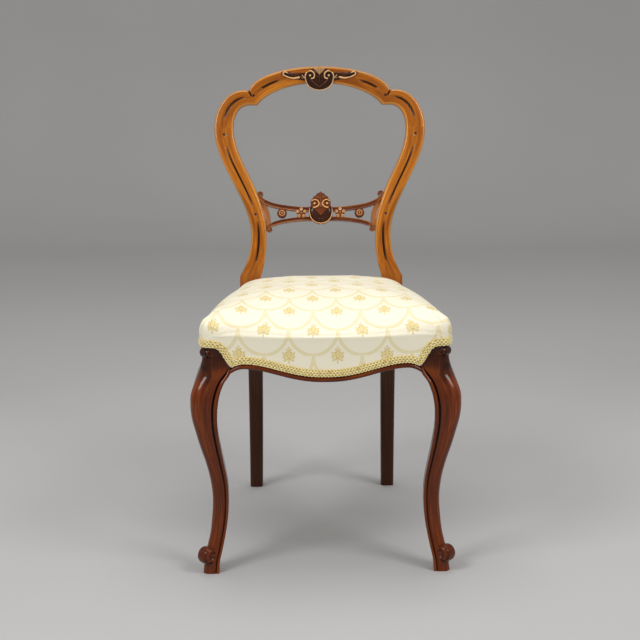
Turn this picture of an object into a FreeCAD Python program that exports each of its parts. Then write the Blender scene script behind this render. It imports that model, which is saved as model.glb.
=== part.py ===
"""Balloon back dining chair with a stuffed-over seat.

Frame: millimetres, +Z up, the sitter faces -Y, +X to the right as seen from the front.
The origin is on the floor, under the middle of the chair's bounding box.
"""
import FreeCAD, Part
import math
import os

from FreeCAD import Vector

# Seat frame
FRONT_LEG_X = 195.0         # centre of a front leg's square block, from the middle
FRONT_LEG_Y = -239.34       # same, front to back
LEG_BLOCK = 50.0            # side of the square block
SEAT_DEPTH = 397.0          # block centre to the front face of the back posts
RAIL_TOP = 432.0            # top of every seat rail above the floor
FRONT_RAIL_DEPTH = 71.0     # front rail at its middle, top to bottom
FRONT_RAIL_RISE = 24.5      # how far its lower edge climbs beside the legs
FRONT_RAIL_BOW = 5.0        # how far the front swells forwards at the middle
SIDE_RAIL_DEPTH = 58.0
SIDE_RAIL_BOW = 11.0
RAIL_THICKNESS = 24.0
BACK_RAIL_DEPTH = 60.0
BACK_RAIL_THICKNESS = 22.0
BEAD_RADIUS = 4.0
BRACKET_RUN = 24.0          # length of the curve that brings a rail down into a leg

# Back posts, each one piece with its rear leg
POST_OUTER_X = 166.8        # outer side at the seat
POST_FACE_SEAT = 42.3       # width of the face at the seat
POST_FACE_WAIST = 31.5
POST_FACE_TOP = 40.0
POST_DEPTH_SEAT = 34.0      # front to back at the seat
POST_DEPTH_TOP = 24.0
REAR_LEG_X = 138.0          # centre of the rear leg under the seat
REAR_LEG_WIDTH = 31.0
REAR_FOOT_WIDTH = 27.0
REAR_FOOT_SPLAY = 3.0
REAR_SWEEP = 50.0           # how far the rear foot kicks back
BACK_RAKE = 103.0           # how far the back leans by the top of the crest
WAIST_X = 143.0             # outer side at the waist
WAIST_Z = 555.0
BALLOON_X = 218.0           # outer side at the widest
BALLOON_Z = 765.0
POST_CORNER_RISE = 38.0     # stepped corner of the post above the rails

# Crest rail
CREST_TOP_Z = 891.0
CREST_FACE = 34.0           # height of the crest at its middle
ARCH_HALF_SPAN = 148.0
ARCH_RISE = 54.5
NOTCH_X = 146.5             # where the arch breaks into the shoulders
NOTCH_FACE_X = 131.0        # the same break on the inner edge
SHOULDER_RISE = 76.0
INNER_SHOULDER_RISE = 46.0

# Mid rail
MID_RAIL_Z = 597.0
MID_RAIL_DEPTH = 14.0       # front to back
UPPER_BAR_RISE = 9.0        # centre of the upper bar above the rail's middle
LOWER_BAR_DROP = 10.5
UPPER_BAR = 9.5
LOWER_BAR = 8.5
UPPER_BAR_RADIUS = 468.0
LOWER_BAR_RADIUS = 498.0
BOSS_X = 79.0
BOSS_RADIUS = 10.0
FLOWER_X = 40.0
FLOWER_RADIUS = 10.0
CARTOUCHE_HALF_WIDTH = 25.0

# Joints
DOWEL_DIAMETER = 9.0
DOWEL_LENGTH = 40.0
CREST_DOWEL_DIAMETER = 8.0
TENON_LENGTH = 9.0
TENON_HEIGHT = 26.0
TENON_THICKNESS = 7.0
FIT = 0.1                   # slack all round a dowel, tenon or screw
LAY = 0.3                   # space left between soft layers

# Upholstery
WEB_WIDTH = 50.0
WEB_THICKNESS = 1.2
HESSIAN_THICKNESS = 0.8
COVER_THICKNESS = 1.5
EDGE_HEIGHT = 20.0          # firm edge of the first stuffing above the hessian
CROWN = 65.0                # middle of the seat above the rails
SEAT_TILT = 0.05            # fall of the stuffed seat towards the back
ROLL = 2.5                  # how far the edge roll overhangs the rails
EDGE_TURN = 3.0             # how far inside the rails the edge turns over into the crown
BRAID_WIDTH = 14.0
BRAID_LIFT = 6.0            # lower edge of the cover above the bead
BRAID_THICKNESS = 2.4

# Carving and channels
CHANNEL_WIDTH = 5.0
CHANNEL_DEPTH = 2.6
EYE_RADIUS = 2.6
EAR_RELIEF = 2.5
MID_RAIL_SETBACK = 5.0
FACE_CROWN = 2.0            # how far the face of the back swells
EASED_EDGE = 5.0

# Cabriole leg: share of the rail height, offset along the diagonal, half width
CABRIOLE = [
    (0.0, 16.7, 14.7), (0.046, 14.8, 14.2), (0.104, 9.5, 14.5), (0.164, 3.8, 14.2),
    (0.231, -0.2, 14.7), (0.312, -2.2, 14.7), (0.394, 0.0, 15.5), (0.475, 6.0, 16.5),
    (0.556, 13.2, 18.3), (0.625, 18.1, 19.9), (0.692, 21.2, 22.3), (0.745, 21.2, 23.8),
    (0.796, 18.2, 25.2), (0.838, 12.2, 26.7), (0.873, 4.1, 29.1), (0.907, 1.2, 26.2),
]
# Lower edge of the cover over the ear: out from the leg's middle, height from the rail top
EAR_LINE = [(-30, -44), (-14, -23), (-3, -4), (40, -2)]
# Crown of the seat: how far in towards the middle, share of the crown's height
CROWN_LINE = [(0.05, 0.53), (0.12, 0.635), (0.26, 0.765), (0.46, 0.89), (0.72, 0.975), (0.94, 1.0)]
TOE_OFFSET = 25.0
TOE_Z = 45.0
TOE_RADIUS = 17.0
TOE_HALF_WIDTH = 10.0
CORNER_RADIUS = 14.0
BRACKET_DROP = 8.9
BRACE_DEPTH = 32.0
BRACE_DROP = 9.0
SCREW_RADIUS = 2.0
SCREW_LENGTH = 34.0
WEB_PITCH = 84.0
WEB_SLACK = 0.2

# Worked out once from the sizes above
BLOCK_HALF = LEG_BLOCK / 2
FRONT_X = FRONT_LEG_X + BLOCK_HALF
FRONT_Y = FRONT_LEG_Y - BLOCK_HALF
POST_Y = FRONT_LEG_Y + SEAT_DEPTH
POST_BACK_Y = POST_Y + POST_DEPTH_SEAT
POST_INNER_X = POST_OUTER_X - POST_FACE_SEAT
BACK_RAIL_Y = POST_Y + (POST_DEPTH_SEAT - BACK_RAIL_THICKNESS) / 2
SEAT_BACK_Y = BACK_RAIL_Y + BACK_RAIL_THICKNESS
POST_CORNER_Z = RAIL_TOP + POST_CORNER_RISE
POST_FOOT_Z = RAIL_TOP - BACK_RAIL_DEPTH - 2
CREST_JOINT_Z = BALLOON_Z + 3
SIDES = {"left": -1, "right": 1}
UP = Vector(0, 0, 1)
BACKWARDS = Vector(0, 1, 0)


def smooth(t):
    """Eases from 0 to 1 with no slope at either end."""
    t = min(max(t, 0.0), 1.0)
    return t * t * (3 - 2 * t)


def spread(start, end, count):
    return [start + (end - start) * i / (count - 1) for i in range(count)]


def closed_wire(points):
    return Part.makePolygon(points + points[:1])


def polygon_prism(points, direction):
    return Part.Face(closed_wire(points)).extrude(direction)


def square_to(axis):
    """Two directions square to an axis and to each other."""
    axis = axis.normalize()
    helper = Vector(0, 0, 1) if abs(axis.z) < 0.9 else Vector(1, 0, 0)
    first = axis.cross(helper).normalize()
    return first, axis.cross(first).normalize()


def rod(foot, axis, length, radius, tip_radius=None, sides=8):
    """Straight or tapered rod with flat sides, of the given radius at its corners."""
    tip_radius = radius if tip_radius is None else tip_radius
    first, second = square_to(Vector(axis))
    wires = []
    for distance, r in ((0.0, radius), (length, tip_radius)):
        centre = foot + Vector(axis).normalize() * distance
        turns = [2 * math.pi * (i + 0.5) / sides for i in range(sides)]
        wires.append(closed_wire([centre + first * (r * math.cos(turn)) + second * (r * math.sin(turn))
                                  for turn in turns]))
    return Part.makeLoft(wires, True, True)


def faceted(rings):
    """Solid of flat facets between rings of points that are drawn larger or smaller copies."""
    faces = [Part.Face(closed_wire(rings[0])), Part.Face(closed_wire(rings[-1]))]
    for low, high in zip(rings, rings[1:]):
        for i in range(len(low)):
            corners = [low[i - 1], low[i], high[i], high[i - 1]]
            square = (corners[1] - corners[0]).cross(corners[2] - corners[0]).normalize()
            if abs(square.dot(corners[3] - corners[0])) < 1e-7:
                faces.append(Part.Face(closed_wire(corners)))
            else:
                faces.append(Part.Face(closed_wire(corners[:3])))
                faces.append(Part.Face(closed_wire([corners[0]] + corners[2:])))
    shell = Part.makeShell(faces)
    shell.sewShape()
    solid = Part.makeSolid(shell)
    if solid.Volume < 0:
        solid.reverse()
    return solid


def box(x0, x1, y0, y1, z0, z1):
    corner = Vector(min(x0, x1), min(y0, y1), z0)
    return Part.makeBox(abs(x1 - x0), abs(y1 - y0), z1 - z0, corner)


def fuse_all(shapes):
    solid = shapes[0].fuse(shapes[1:]) if len(shapes) > 1 else shapes[0]
    return solid.removeSplitter()


def mirrored(shape):
    return shape.mirror(Vector(0, 0, 0), Vector(1, 0, 0))


def largest(shape):
    return max(shape.Solids, key=lambda solid: solid.Volume)


# Lines of the back


def post_front_y(z):
    """Front face of the back: kicked out at the foot, upright at the seat, raked above it."""
    if z < POST_FOOT_Z:
        return POST_Y + REAR_SWEEP * (1 - z / POST_FOOT_Z) ** 1.7
    return POST_Y + BACK_RAKE * smooth((z - POST_CORNER_Z) / (CREST_TOP_Z - POST_CORNER_Z))


def post_outer_x(z):
    """Outer side of the balloon from the stepped corner at the seat to its widest."""
    if z > WAIST_Z:
        return WAIST_X + (BALLOON_X - WAIST_X) * smooth((z - WAIST_Z) / (BALLOON_Z - WAIST_Z))
    drop = (WAIST_Z - z) / (WAIST_Z - POST_CORNER_Z)
    return WAIST_X + (POST_OUTER_X - WAIST_X) * drop ** 2.2


def post_face(z):
    if z > WAIST_Z:
        return POST_FACE_WAIST + (POST_FACE_TOP - POST_FACE_WAIST) * smooth((z - WAIST_Z) / 120)
    drop = (WAIST_Z - z) / (WAIST_Z - POST_CORNER_Z)
    return POST_FACE_WAIST + (POST_FACE_SEAT - POST_FACE_WAIST) * drop ** 2


def post_depth(z):
    t = smooth((z - POST_CORNER_Z) / 90)
    return POST_DEPTH_SEAT + (POST_DEPTH_TOP - POST_DEPTH_SEAT) * t


def shoulder_edges(t):
    """Outer and inner points of the shoulder, t from 0 at the joint to 1 at the notch."""
    turn = t * math.radians(100)
    centre_x = NOTCH_X + 10.5
    outer = (centre_x + (BALLOON_X - centre_x) * math.cos(turn),
             CREST_JOINT_Z + SHOULDER_RISE * math.sin(turn))
    inner_face = BALLOON_X - POST_FACE_TOP
    if t > 0.99:
        return outer, (NOTCH_FACE_X, CREST_JOINT_Z + INNER_SHOULDER_RISE - 0.5)
    turn = t * math.radians(96)
    centre_x = NOTCH_FACE_X + 12
    inner = (centre_x + (inner_face - centre_x) * max(math.cos(turn), 0) ** 0.85,
             CREST_JOINT_Z + INNER_SHOULDER_RISE * math.sin(turn) ** 0.85)
    return outer, inner


def arch_edges(t):
    """Outer and inner points of the arch, t from -1 at one notch to 1 at the other."""
    turn = t * math.asin(NOTCH_X / ARCH_HALF_SPAN)
    outer = (ARCH_HALF_SPAN * math.sin(turn),
             CREST_TOP_Z - ARCH_RISE * (1 - math.cos(turn)))
    half_span = NOTCH_FACE_X + 12
    end = math.asin(NOTCH_FACE_X / half_span)
    notch_z = CREST_JOINT_Z + INNER_SHOULDER_RISE - 0.5
    rise = (CREST_TOP_Z - CREST_FACE - notch_z) / (1 - math.cos(end))
    inner = (half_span * math.sin(t * end),
             CREST_TOP_Z - CREST_FACE - rise * (1 - math.cos(t * end)))
    return outer, inner


def member_section(outer, inner, depth, crown, edge):
    """Section of a back member between two points of its front face, with eased edges."""
    middle = (outer + inner) / 2
    half = (outer - inner).Length / 2
    across = (outer - inner).normalize()
    back = (BACKWARDS - across * BACKWARDS.dot(across)).normalize()
    side = [(half, depth - edge), (half, crown + edge), (half - 0.4 * edge, crown + 0.3 * edge),
            (half - edge, crown * 0.8), (half * 0.4, crown * 0.16)]
    outline = [(-half + edge, depth), (half - edge, depth)] + side
    outline += [(-a, b) for a, b in reversed(side)]
    return closed_wire([middle + across * a + back * b for a, b in outline])


def loft(wires):
    """Solid of straight strips between neighbouring sections."""
    return Part.makeLoft(wires, True, True)


def post_section(z):
    y = post_front_y(z)
    outer = Vector(post_outer_x(z), y, z)
    inner = Vector(post_outer_x(z) - post_face(z), y, z)
    return member_section(outer, inner, post_depth(z), FACE_CROWN, EASED_EDGE)


def leg_post_section(z, centre_x, width, depth, edge):
    y = post_front_y(z)
    outer = Vector(centre_x + width / 2, y, z)
    inner = Vector(centre_x - width / 2, y, z)
    return member_section(outer, inner, depth, 0.0, edge)


# Chip-cut channels and eyes in the front face of the back


def post_edges(z):
    outer_x = post_outer_x(z)
    return (outer_x, z), (outer_x - post_face(z), z)


def face_frame(edges):
    """Middle of the front face between two edge points, across it and into the wood."""
    (xo, zo), (xi, zi) = edges
    outer = Vector(xo, post_front_y(zo), zo)
    inner = Vector(xi, post_front_y(zi), zi)
    across = (outer - inner).normalize()
    back = (BACKWARDS - across * BACKWARDS.dot(across)).normalize()
    return (outer + inner) / 2, across, back


def channel(edge_line, start, end):
    """Leaf-shaped gouge cut along the middle of the face."""
    wires = []
    for share, swell in ((0, 0.2), (0.2, 0.9), (0.5, 1), (0.8, 0.9), (1, 0.2)):
        middle, across, back = face_frame(edge_line(start + (end - start) * share))
        half = CHANNEL_WIDTH / 2 * swell
        corners = [middle - across * half - back * 0.8,
                   middle + across * half - back * 0.8,
                   middle + back * CHANNEL_DEPTH * swell]
        wires.append(Part.makePolygon(corners + corners[:1]))
    return loft(wires)


def eye(edges):
    """Small punched eye between two channels."""
    middle, across, back = face_frame(edges)
    return rod(middle - back * 0.8, back, 3.0, EYE_RADIUS, EYE_RADIUS * 0.4, 6)


def back_post():
    """Right back post: rear leg, square part that takes the rails, side of the balloon."""
    block_x = (POST_OUTER_X + POST_INNER_X) / 2
    leg_top_z = POST_FOOT_Z - 28
    leg = []
    for share in (0.0, 0.33, 0.68, 1.0):
        z = leg_top_z * share
        width = REAR_FOOT_WIDTH + (REAR_LEG_WIDTH - REAR_FOOT_WIDTH) * share
        x = REAR_LEG_X + REAR_FOOT_SPLAY * (1 - share) ** 2
        leg.append(leg_post_section(z, x, width, width + 1, width * 0.29))
    block = [
        leg[-1],
        leg_post_section(POST_FOOT_Z, block_x, POST_FACE_SEAT, POST_DEPTH_SEAT, 2.0),
        leg_post_section(POST_CORNER_Z, block_x, POST_FACE_SEAT, POST_DEPTH_SEAT, 2.0),
    ]
    rise = CREST_JOINT_Z - POST_CORNER_Z
    upper = [post_section(POST_CORNER_Z + rise * share)
             for share in (0, 0.06, 0.13, 0.22, 0.32, 0.42, 0.53, 0.64, 0.75, 0.87, 1)]
    post = fuse_all([loft(leg), loft(block), loft(upper)])
    cuts = [channel(post_edges, WAIST_Z + 60, BALLOON_Z - 34),
            channel(post_edges, POST_CORNER_Z + 34, WAIST_Z + 24),
            eye(post_edges(BALLOON_Z - 10)),
            eye(post_edges(WAIST_Z + 41))]
    return post.cut(cuts)


def crest():
    """Break-arched crest: two shoulders and the arch between the notches."""
    def section(edges):
        (xo, zo), (xi, zi) = edges
        outer = Vector(xo, post_front_y(zo), zo)
        inner = Vector(xi, post_front_y(zi), zi)
        return member_section(outer, inner, POST_DEPTH_TOP, FACE_CROWN, EASED_EDGE)

    shoulder = loft([section(shoulder_edges(t)) for t in (0, 0.25, 0.5, 0.75, 1)])
    arch = loft([section(arch_edges(t)) for t in (-1, -0.82, -0.6, -0.3, 0, 0.3, 0.6, 0.82, 1)])
    crest_rail = fuse_all([arch, shoulder, mirrored(shoulder)])
    middle, across, back = face_frame(shoulder_edges(1))
    tip = middle + across * 8
    root = middle + across * 24
    width = Vector(across.z, 0, -across.x) * 2.2
    notch = polygon_prism([tip, root + width, root - width], BACKWARDS * 9)
    notch.translate(back * -6)
    cuts = [channel(shoulder_edges, 0.16, 0.85), channel(arch_edges, 0.47, 0.76),
            eye(arch_edges(0.96)), notch]
    return crest_rail.cut(cuts + [mirrored(cut) for cut in cuts])


def crest_dowels():
    """Two dowels in each crest joint, and the slightly larger holes for them."""
    z = CREST_JOINT_Z - DOWEL_LENGTH / 2
    middle_x = BALLOON_X - POST_FACE_TOP / 2
    y = post_front_y(CREST_JOINT_Z) + POST_DEPTH_TOP / 2
    dowels = []
    holes = []
    for side in SIDES.values():
        for offset in (-9, 9):
            foot = Vector(side * (middle_x + offset), y, z)
            dowels.append(rod(foot, UP, DOWEL_LENGTH, CREST_DOWEL_DIAMETER / 2))
            holes.append(rod(foot - UP * FIT, UP, DOWEL_LENGTH + 2 * FIT,
                             CREST_DOWEL_DIAMETER / 2 + FIT))
    return Part.makeCompound(dowels), holes


# Pierced mid rail, drawn upright in the plane y = 0 and then leaned with the back


def mid_rail_lean(shape):
    """Leans a piece drawn at y = 0 about the mid rail's centre and sets it in the back."""
    step = 20.0
    slope = (post_front_y(MID_RAIL_Z + step) - post_front_y(MID_RAIL_Z - step)) / (2 * step)
    leaned = shape.copy()
    leaned.rotate(Vector(0, 0, MID_RAIL_Z), Vector(1, 0, 0), -math.degrees(math.atan(slope)))
    leaned.translate(Vector(0, post_front_y(MID_RAIL_Z) + MID_RAIL_SETBACK, 0))
    return leaned


def arc_bar(middle_z, radius, bend, half_height, reach):
    """Bar of even height along a large circle; bend 1 turns its ends up, -1 down."""
    def point(x, offset):
        z = middle_z + bend * (radius - math.sqrt(radius * radius - x * x))
        return Vector(x, 0, z + offset)

    stations = spread(-reach, reach, 9)
    outline = [point(x, half_height) for x in stations]
    outline += [point(x, -half_height) for x in reversed(stations)]
    return polygon_prism(outline, BACKWARDS * MID_RAIL_DEPTH)


def disc(x, z, radius, front, back):
    return rod(Vector(x, front, z), BACKWARDS, back - front, radius, sides=12)


def mid_rail(posts):
    """Two scroll-ended bars, end members against the posts, bosses, flowers and tenons."""
    upper_z = MID_RAIL_Z + UPPER_BAR_RISE
    lower_z = MID_RAIL_Z - LOWER_BAR_DROP
    upper_end = WAIST_X - 32
    lower_end = WAIST_X - 46
    upper_tip = upper_z + UPPER_BAR_RADIUS - math.sqrt(UPPER_BAR_RADIUS ** 2 - upper_end ** 2)
    lower_tip = lower_z - LOWER_BAR_RADIUS + math.sqrt(LOWER_BAR_RADIUS ** 2 - lower_end ** 2)
    pieces = [arc_bar(upper_z, UPPER_BAR_RADIUS, 1, UPPER_BAR / 2, upper_end),
              arc_bar(lower_z, LOWER_BAR_RADIUS, -1, LOWER_BAR / 2, lower_end)]
    for side in SIDES.values():
        def at(x, z):
            return Vector(side * x, 0, z)

        horn = [at(upper_end, upper_tip + UPPER_BAR / 2), at(upper_end + 5, upper_tip + 8),
                at(upper_end + 7, upper_tip + 17), at(upper_end + 22, upper_tip + 17),
                at(upper_end + 14, upper_tip - 6), at(upper_end, upper_tip - UPPER_BAR / 2)]
        stay = [at(upper_end + 4, upper_tip - 2), at(upper_end - 3, MID_RAIL_Z + 2),
                at(upper_end - 7, lower_tip + 2), at(upper_end + 14, lower_tip + 2),
                at(upper_end + 20, upper_tip - 2)]
        for outline in (horn, stay):
            pieces.append(polygon_prism(outline, BACKWARDS * MID_RAIL_DEPTH))
        pieces += [
            disc(side * (upper_end + 12), upper_tip + 17, 7, -1.5, MID_RAIL_DEPTH),
            disc(side * (lower_end + 9), lower_tip - 7, 6.5, -1.5, MID_RAIL_DEPTH),
            disc(side * (lower_end + 3), lower_tip - 1, 5, 0, MID_RAIL_DEPTH),
            disc(side * BOSS_X, MID_RAIL_Z, BOSS_RADIUS, 0, MID_RAIL_DEPTH),
            rod(Vector(side * BOSS_X, 0, MID_RAIL_Z), -BACKWARDS, 3, BOSS_RADIUS * 0.7,
                BOSS_RADIUS * 0.3),
            disc(side * FLOWER_X, MID_RAIL_Z, FLOWER_RADIUS, 0, MID_RAIL_DEPTH),
        ]
        for petal in range(5):
            turn = math.radians(90 + 72 * petal)
            foot = Vector(side * FLOWER_X + 5.2 * math.cos(turn), 1,
                          MID_RAIL_Z + 5.2 * math.sin(turn))
            pieces.append(rod(foot, -BACKWARDS, 3.5, 4.2, 2.6, 6))
    rail = mid_rail_lean(fuse_all(pieces)).cut(posts)
    rail = largest(rail)
    tenons = []
    mortises = []
    for side in SIDES.values():
        root = WAIST_X - POST_FACE_WAIST - 6
        tip = post_outer_x(MID_RAIL_Z) - post_face(MID_RAIL_Z) + TENON_LENGTH
        middle = MID_RAIL_DEPTH / 2
        tenon = box(side * root, side * tip, middle - TENON_THICKNESS / 2,
                    middle + TENON_THICKNESS / 2,
                    MID_RAIL_Z - TENON_HEIGHT / 2, MID_RAIL_Z + TENON_HEIGHT / 2)
        mortise = box(side * root, side * (tip + FIT), middle - TENON_THICKNESS / 2 - FIT,
                      middle + TENON_THICKNESS / 2 + FIT,
                      MID_RAIL_Z - TENON_HEIGHT / 2 - FIT, MID_RAIL_Z + TENON_HEIGHT / 2 + FIT)
        tenons.append(mid_rail_lean(tenon))
        mortises.append(mid_rail_lean(mortise))
    return fuse_all([rail] + tenons), mortises


def mid_cartouche(rail):
    """Round shell with a pointed leaf above it and two volutes, carved in front of the rail."""
    r = CARTOUCHE_HALF_WIDTH
    z = MID_RAIL_Z

    def at(x, dz):
        return Vector(x, 0, z + dz)

    half = [(r * math.sin(turn), 1 - (r - 1) * math.cos(turn))
            for turn in spread(0.0, math.pi / 2, 6)]
    half += [(r - 1, 10), (r - 4, 19), (r - 8, 28), (8, 34), (4, 37), (0, 43)]
    outline = [at(x, dz) for x, dz in half] + [at(-x, dz) for x, dz in reversed(half[1:-1])]
    body = polygon_prism(outline, BACKWARDS * (MID_RAIL_DEPTH + 2))
    body.translate(BACKWARDS * -4)
    dome = rod(Vector(0, -3.9, z), -BACKWARDS, 4, r - 4, r - 12, 12)
    parts = [body, dome]
    for side in SIDES.values():
        parts.append(disc(side * 12, z + 18, 9, -8, 0))
        parts.append(disc(side * 12, z + 18, 4, -10, 0))
    return largest(mid_rail_lean(fuse_all(parts)).cut(rail))


def crest_carving(rail):
    """Shell between two volutes with a leaf scroll each side, on the face of the crest."""
    z = CREST_TOP_Z - 24

    def at(x, dz):
        return Vector(x, 0, z + dz)

    half = [(25.0 * math.sin(turn), -9 - 15.5 * math.cos(turn))
            for turn in spread(0.0, math.pi / 2, 5)]
    half += [(30.5, 1), (27, 10), (18, 18), (8, 21), (4, 24), (0, 29)]
    outline = [at(x, dz) for x, dz in half] + [at(-x, dz) for x, dz in reversed(half[1:-1])]
    parts = [polygon_prism(outline, BACKWARDS * 16),
             rod(at(0, -3) + BACKWARDS * 0.1, -BACKWARDS, 4, 19, 12, 12)]
    for side in SIDES.values():
        parts.append(disc(side * 16, z + 5, 10, -3, 2))
        parts.append(disc(side * 16, z + 5, 4.5, -5, 2))
        parts.append(disc(side * 73, z + 1, 6, 0.5, 12))
        top = [(26, 3), (40, 0), (52, -1), (64, 0), (76, 2)]
        foot = [(73, -4), (60, -8), (45, -9.5), (26, -9)]
        strip = polygon_prism([Vector(side * x, 0, z + dz) for x, dz in top + foot],
                              BACKWARDS * 12)
        strip.translate(BACKWARDS * 1.5)
        parts.append(strip)
    carving = fuse_all(parts)
    carving.translate(BACKWARDS * (post_front_y(z) - 5))
    return largest(carving.cut(rail))


# Seat rails, all drawn from one outline of the seat


def rail_face_y(x):
    """Front face of the front rail at x, on the arc of its bow."""
    half = FRONT_X - CORNER_RADIUS
    return FRONT_Y - FRONT_RAIL_BOW * (1 - (x / half) ** 2)


def rail_face_x(y):
    """Outer face of a side rail at y, on the arc of its bow."""
    y0 = FRONT_Y + CORNER_RADIUS
    t = (y - y0) / (SEAT_BACK_Y - y0)
    chord = FRONT_X + (POST_OUTER_X - 3 - FRONT_X) * t
    return chord + SIDE_RAIL_BOW * 4 * t * (1 - t)


def front_corner(proud=0.0):
    """Points round the front corner of the seat frame, from its front to its side."""
    r = CORNER_RADIUS + proud
    turns = spread(0.0, math.pi / 2, 4)
    return [(FRONT_X - CORNER_RADIUS + r * math.sin(turn), FRONT_Y + CORNER_RADIUS - r * math.cos(turn))
            for turn in turns]


def seat_outline(z, overhang=0.0, shrink=0.0):
    """Plan of the seat drawn larger or smaller about its middle: bowed front and sides."""
    front = FRONT_X - CORNER_RADIUS
    half = [(x, rail_face_y(x)) for x in spread(0.0, front, 5)]
    half += front_corner()[1:]
    half += [(rail_face_x(y), y) for y in spread(FRONT_Y + CORNER_RADIUS, SEAT_BACK_Y - 8, 9)[1:]]
    half += [(half[-1][0] - 2.5, SEAT_BACK_Y - 2.5), (half[-1][0] - 8, SEAT_BACK_Y)]
    middle_y = (FRONT_Y + SEAT_BACK_Y) / 2
    scale = (1 - shrink) * (1 + overhang / (SEAT_BACK_Y - middle_y))
    points = [Vector(x * scale, middle_y + (y - middle_y) * scale, z) for x, y in half]
    return points + [Vector(-point.x, point.y, z) for point in reversed(points[1:])]


def front_rail_bottom(x):
    """Serpentine lower edge of the front rail, dropping into the leg past its peak."""
    low = RAIL_TOP - FRONT_RAIL_DEPTH
    peak_x = FRONT_LEG_X - BLOCK_HALF - BRACKET_RUN
    if abs(x) < peak_x:
        return low + FRONT_RAIL_RISE * smooth(abs(x) / peak_x) ** 1.3
    return low + FRONT_RAIL_RISE - BRACKET_DROP * ((abs(x) - peak_x) / BRACKET_RUN) ** 2


def side_rail_bottom(y):
    """Same line along a side rail: level at the back, rising, then dropping into the leg."""
    low = RAIL_TOP - SIDE_RAIL_DEPTH
    high = RAIL_TOP - FRONT_RAIL_DEPTH + FRONT_RAIL_RISE
    run = y - (FRONT_Y + LEG_BLOCK)
    if run < BRACKET_RUN:
        return high - BRACKET_DROP * ((BRACKET_RUN - run) / BRACKET_RUN) ** 2
    half = (POST_Y - FRONT_Y - LEG_BLOCK) / 2
    return high + (low - high) * smooth((run - BRACKET_RUN) / half)


def below_line(points, floor_z, direction):
    """Prism under a line of points, down to floor_z."""
    first, last = points[0], points[-1]
    feet = [Vector(last.x, last.y, floor_z), Vector(first.x, first.y, floor_z)]
    return polygon_prism(points + feet, direction)


def front_line(raise_by, half_width, y):
    return [Vector(x, y, front_rail_bottom(x) + raise_by)
            for x in spread(-half_width, half_width, 17)]


def side_line(raise_by, x, y0, y1):
    return [Vector(x, y, side_rail_bottom(y) + raise_by) for y in spread(y0, y1, 11)]


def rail_section(face, inward, bottom):
    """Upright section of a rail at a point of its face: bead and quirk along the lower edge."""
    r = BEAD_RADIUS
    outline = [(0, RAIL_TOP), (0, bottom + 2.2 * r), (0.8, bottom + 2 * r),
               (-0.4 * r, bottom + 1.8 * r), (-0.85 * r, bottom + 1.4 * r), (-r, bottom + r),
               (-0.7 * r, bottom + 0.3 * r), (0, bottom), (RAIL_THICKNESS, bottom),
               (RAIL_THICKNESS, RAIL_TOP)]
    return closed_wire([Vector(face.x, face.y, z) + inward * a for a, z in outline])


def front_rail():
    half = FRONT_LEG_X - BLOCK_HALF
    shares = (-1, -0.93, -0.86, -0.72, -0.57, -0.4, -0.2, 0, 0.2, 0.4, 0.57, 0.72, 0.86, 0.93, 1)
    return loft([rail_section(Vector(half * share, rail_face_y(half * share), 0), BACKWARDS,
                              front_rail_bottom(half * share)) for share in shares])


def side_rail():
    """Right side rail between the front block and the back post."""
    y0 = FRONT_Y + LEG_BLOCK
    run = POST_Y - y0
    shares = (0, 0.03, 0.064, 0.14, 0.25, 0.37, 0.5, 0.67, 0.84, 1)
    return loft([rail_section(Vector(rail_face_x(y0 + run * share), y0 + run * share, 0),
                              Vector(-1, 0, 0), side_rail_bottom(y0 + run * share))
                 for share in shares])


def back_rail():
    return box(-POST_INNER_X, POST_INNER_X, BACK_RAIL_Y, BACK_RAIL_Y + BACK_RAIL_THICKNESS,
               RAIL_TOP - BACK_RAIL_DEPTH, RAIL_TOP)


# Cabriole front leg


def leg_section(z, offset, half):
    """Section square to the leg: round outer corner, quirked bead on both inner edges.

    offset moves it outwards along the diagonal, half is half its width.
    """
    lo = offset - half
    hi = offset + half
    w = 0.28 * half + 1.2
    r = 0.8 * half
    front = [(lo, hi - 0.75 * w), (lo + 0.18 * w, hi - 0.2 * w), (lo + 0.5 * w, hi),
             (lo + 0.85 * w, hi - 0.2 * w), (lo + w, hi - 0.45 * w),
             (lo + 1.3 * w, hi - 0.1 * w), (hi - r, hi), (hi - 0.5 * r, hi - 0.13 * r)]
    outline = front + [(b, a) for a, b in reversed(front)]
    outline += [(lo + 0.3 * half, lo), (lo, lo + 0.3 * half)]
    return closed_wire([Vector(FRONT_LEG_X + a, FRONT_LEG_Y - b, z) for a, b in outline])


def ear_zone(raise_by, clearance):
    """Corner of the seat left to the carved ear: under a climbing line, seen from both sides."""
    line_points = [(a + clearance, dz + raise_by - clearance) for a, dz in EAR_LINE]
    floor_z = RAIL_TOP - FRONT_RAIL_DEPTH - 60
    front = [Vector(FRONT_LEG_X + a, FRONT_LEG_Y - 90, RAIL_TOP + dz) for a, dz in line_points]
    front += [Vector(front[-1].x, front[-1].y, floor_z), Vector(front[0].x, front[0].y, floor_z)]
    side = [Vector(FRONT_LEG_X - 60, FRONT_LEG_Y - a, RAIL_TOP + dz) for a, dz in line_points]
    side += [Vector(side[-1].x, side[-1].y, floor_z), Vector(side[0].x, side[0].y, floor_z)]
    return polygon_prism(front, BACKWARDS * 180).common(polygon_prism(side, Vector(160, 0, 0)))


def leg_block(proud, z0):
    """Square block at the corner of the frame, rounded outside; proud sets its faces forward."""
    inner_x = FRONT_X - LEG_BLOCK
    rear_y = FRONT_Y + LEG_BLOCK
    outline = [(inner_x, rear_y), (inner_x, FRONT_Y - proud)] + front_corner(proud)
    outline.append((rail_face_x(rear_y) + proud, rear_y))
    return polygon_prism([Vector(x, y, z0) for x, y in outline], UP * (RAIL_TOP - z0))


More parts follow.
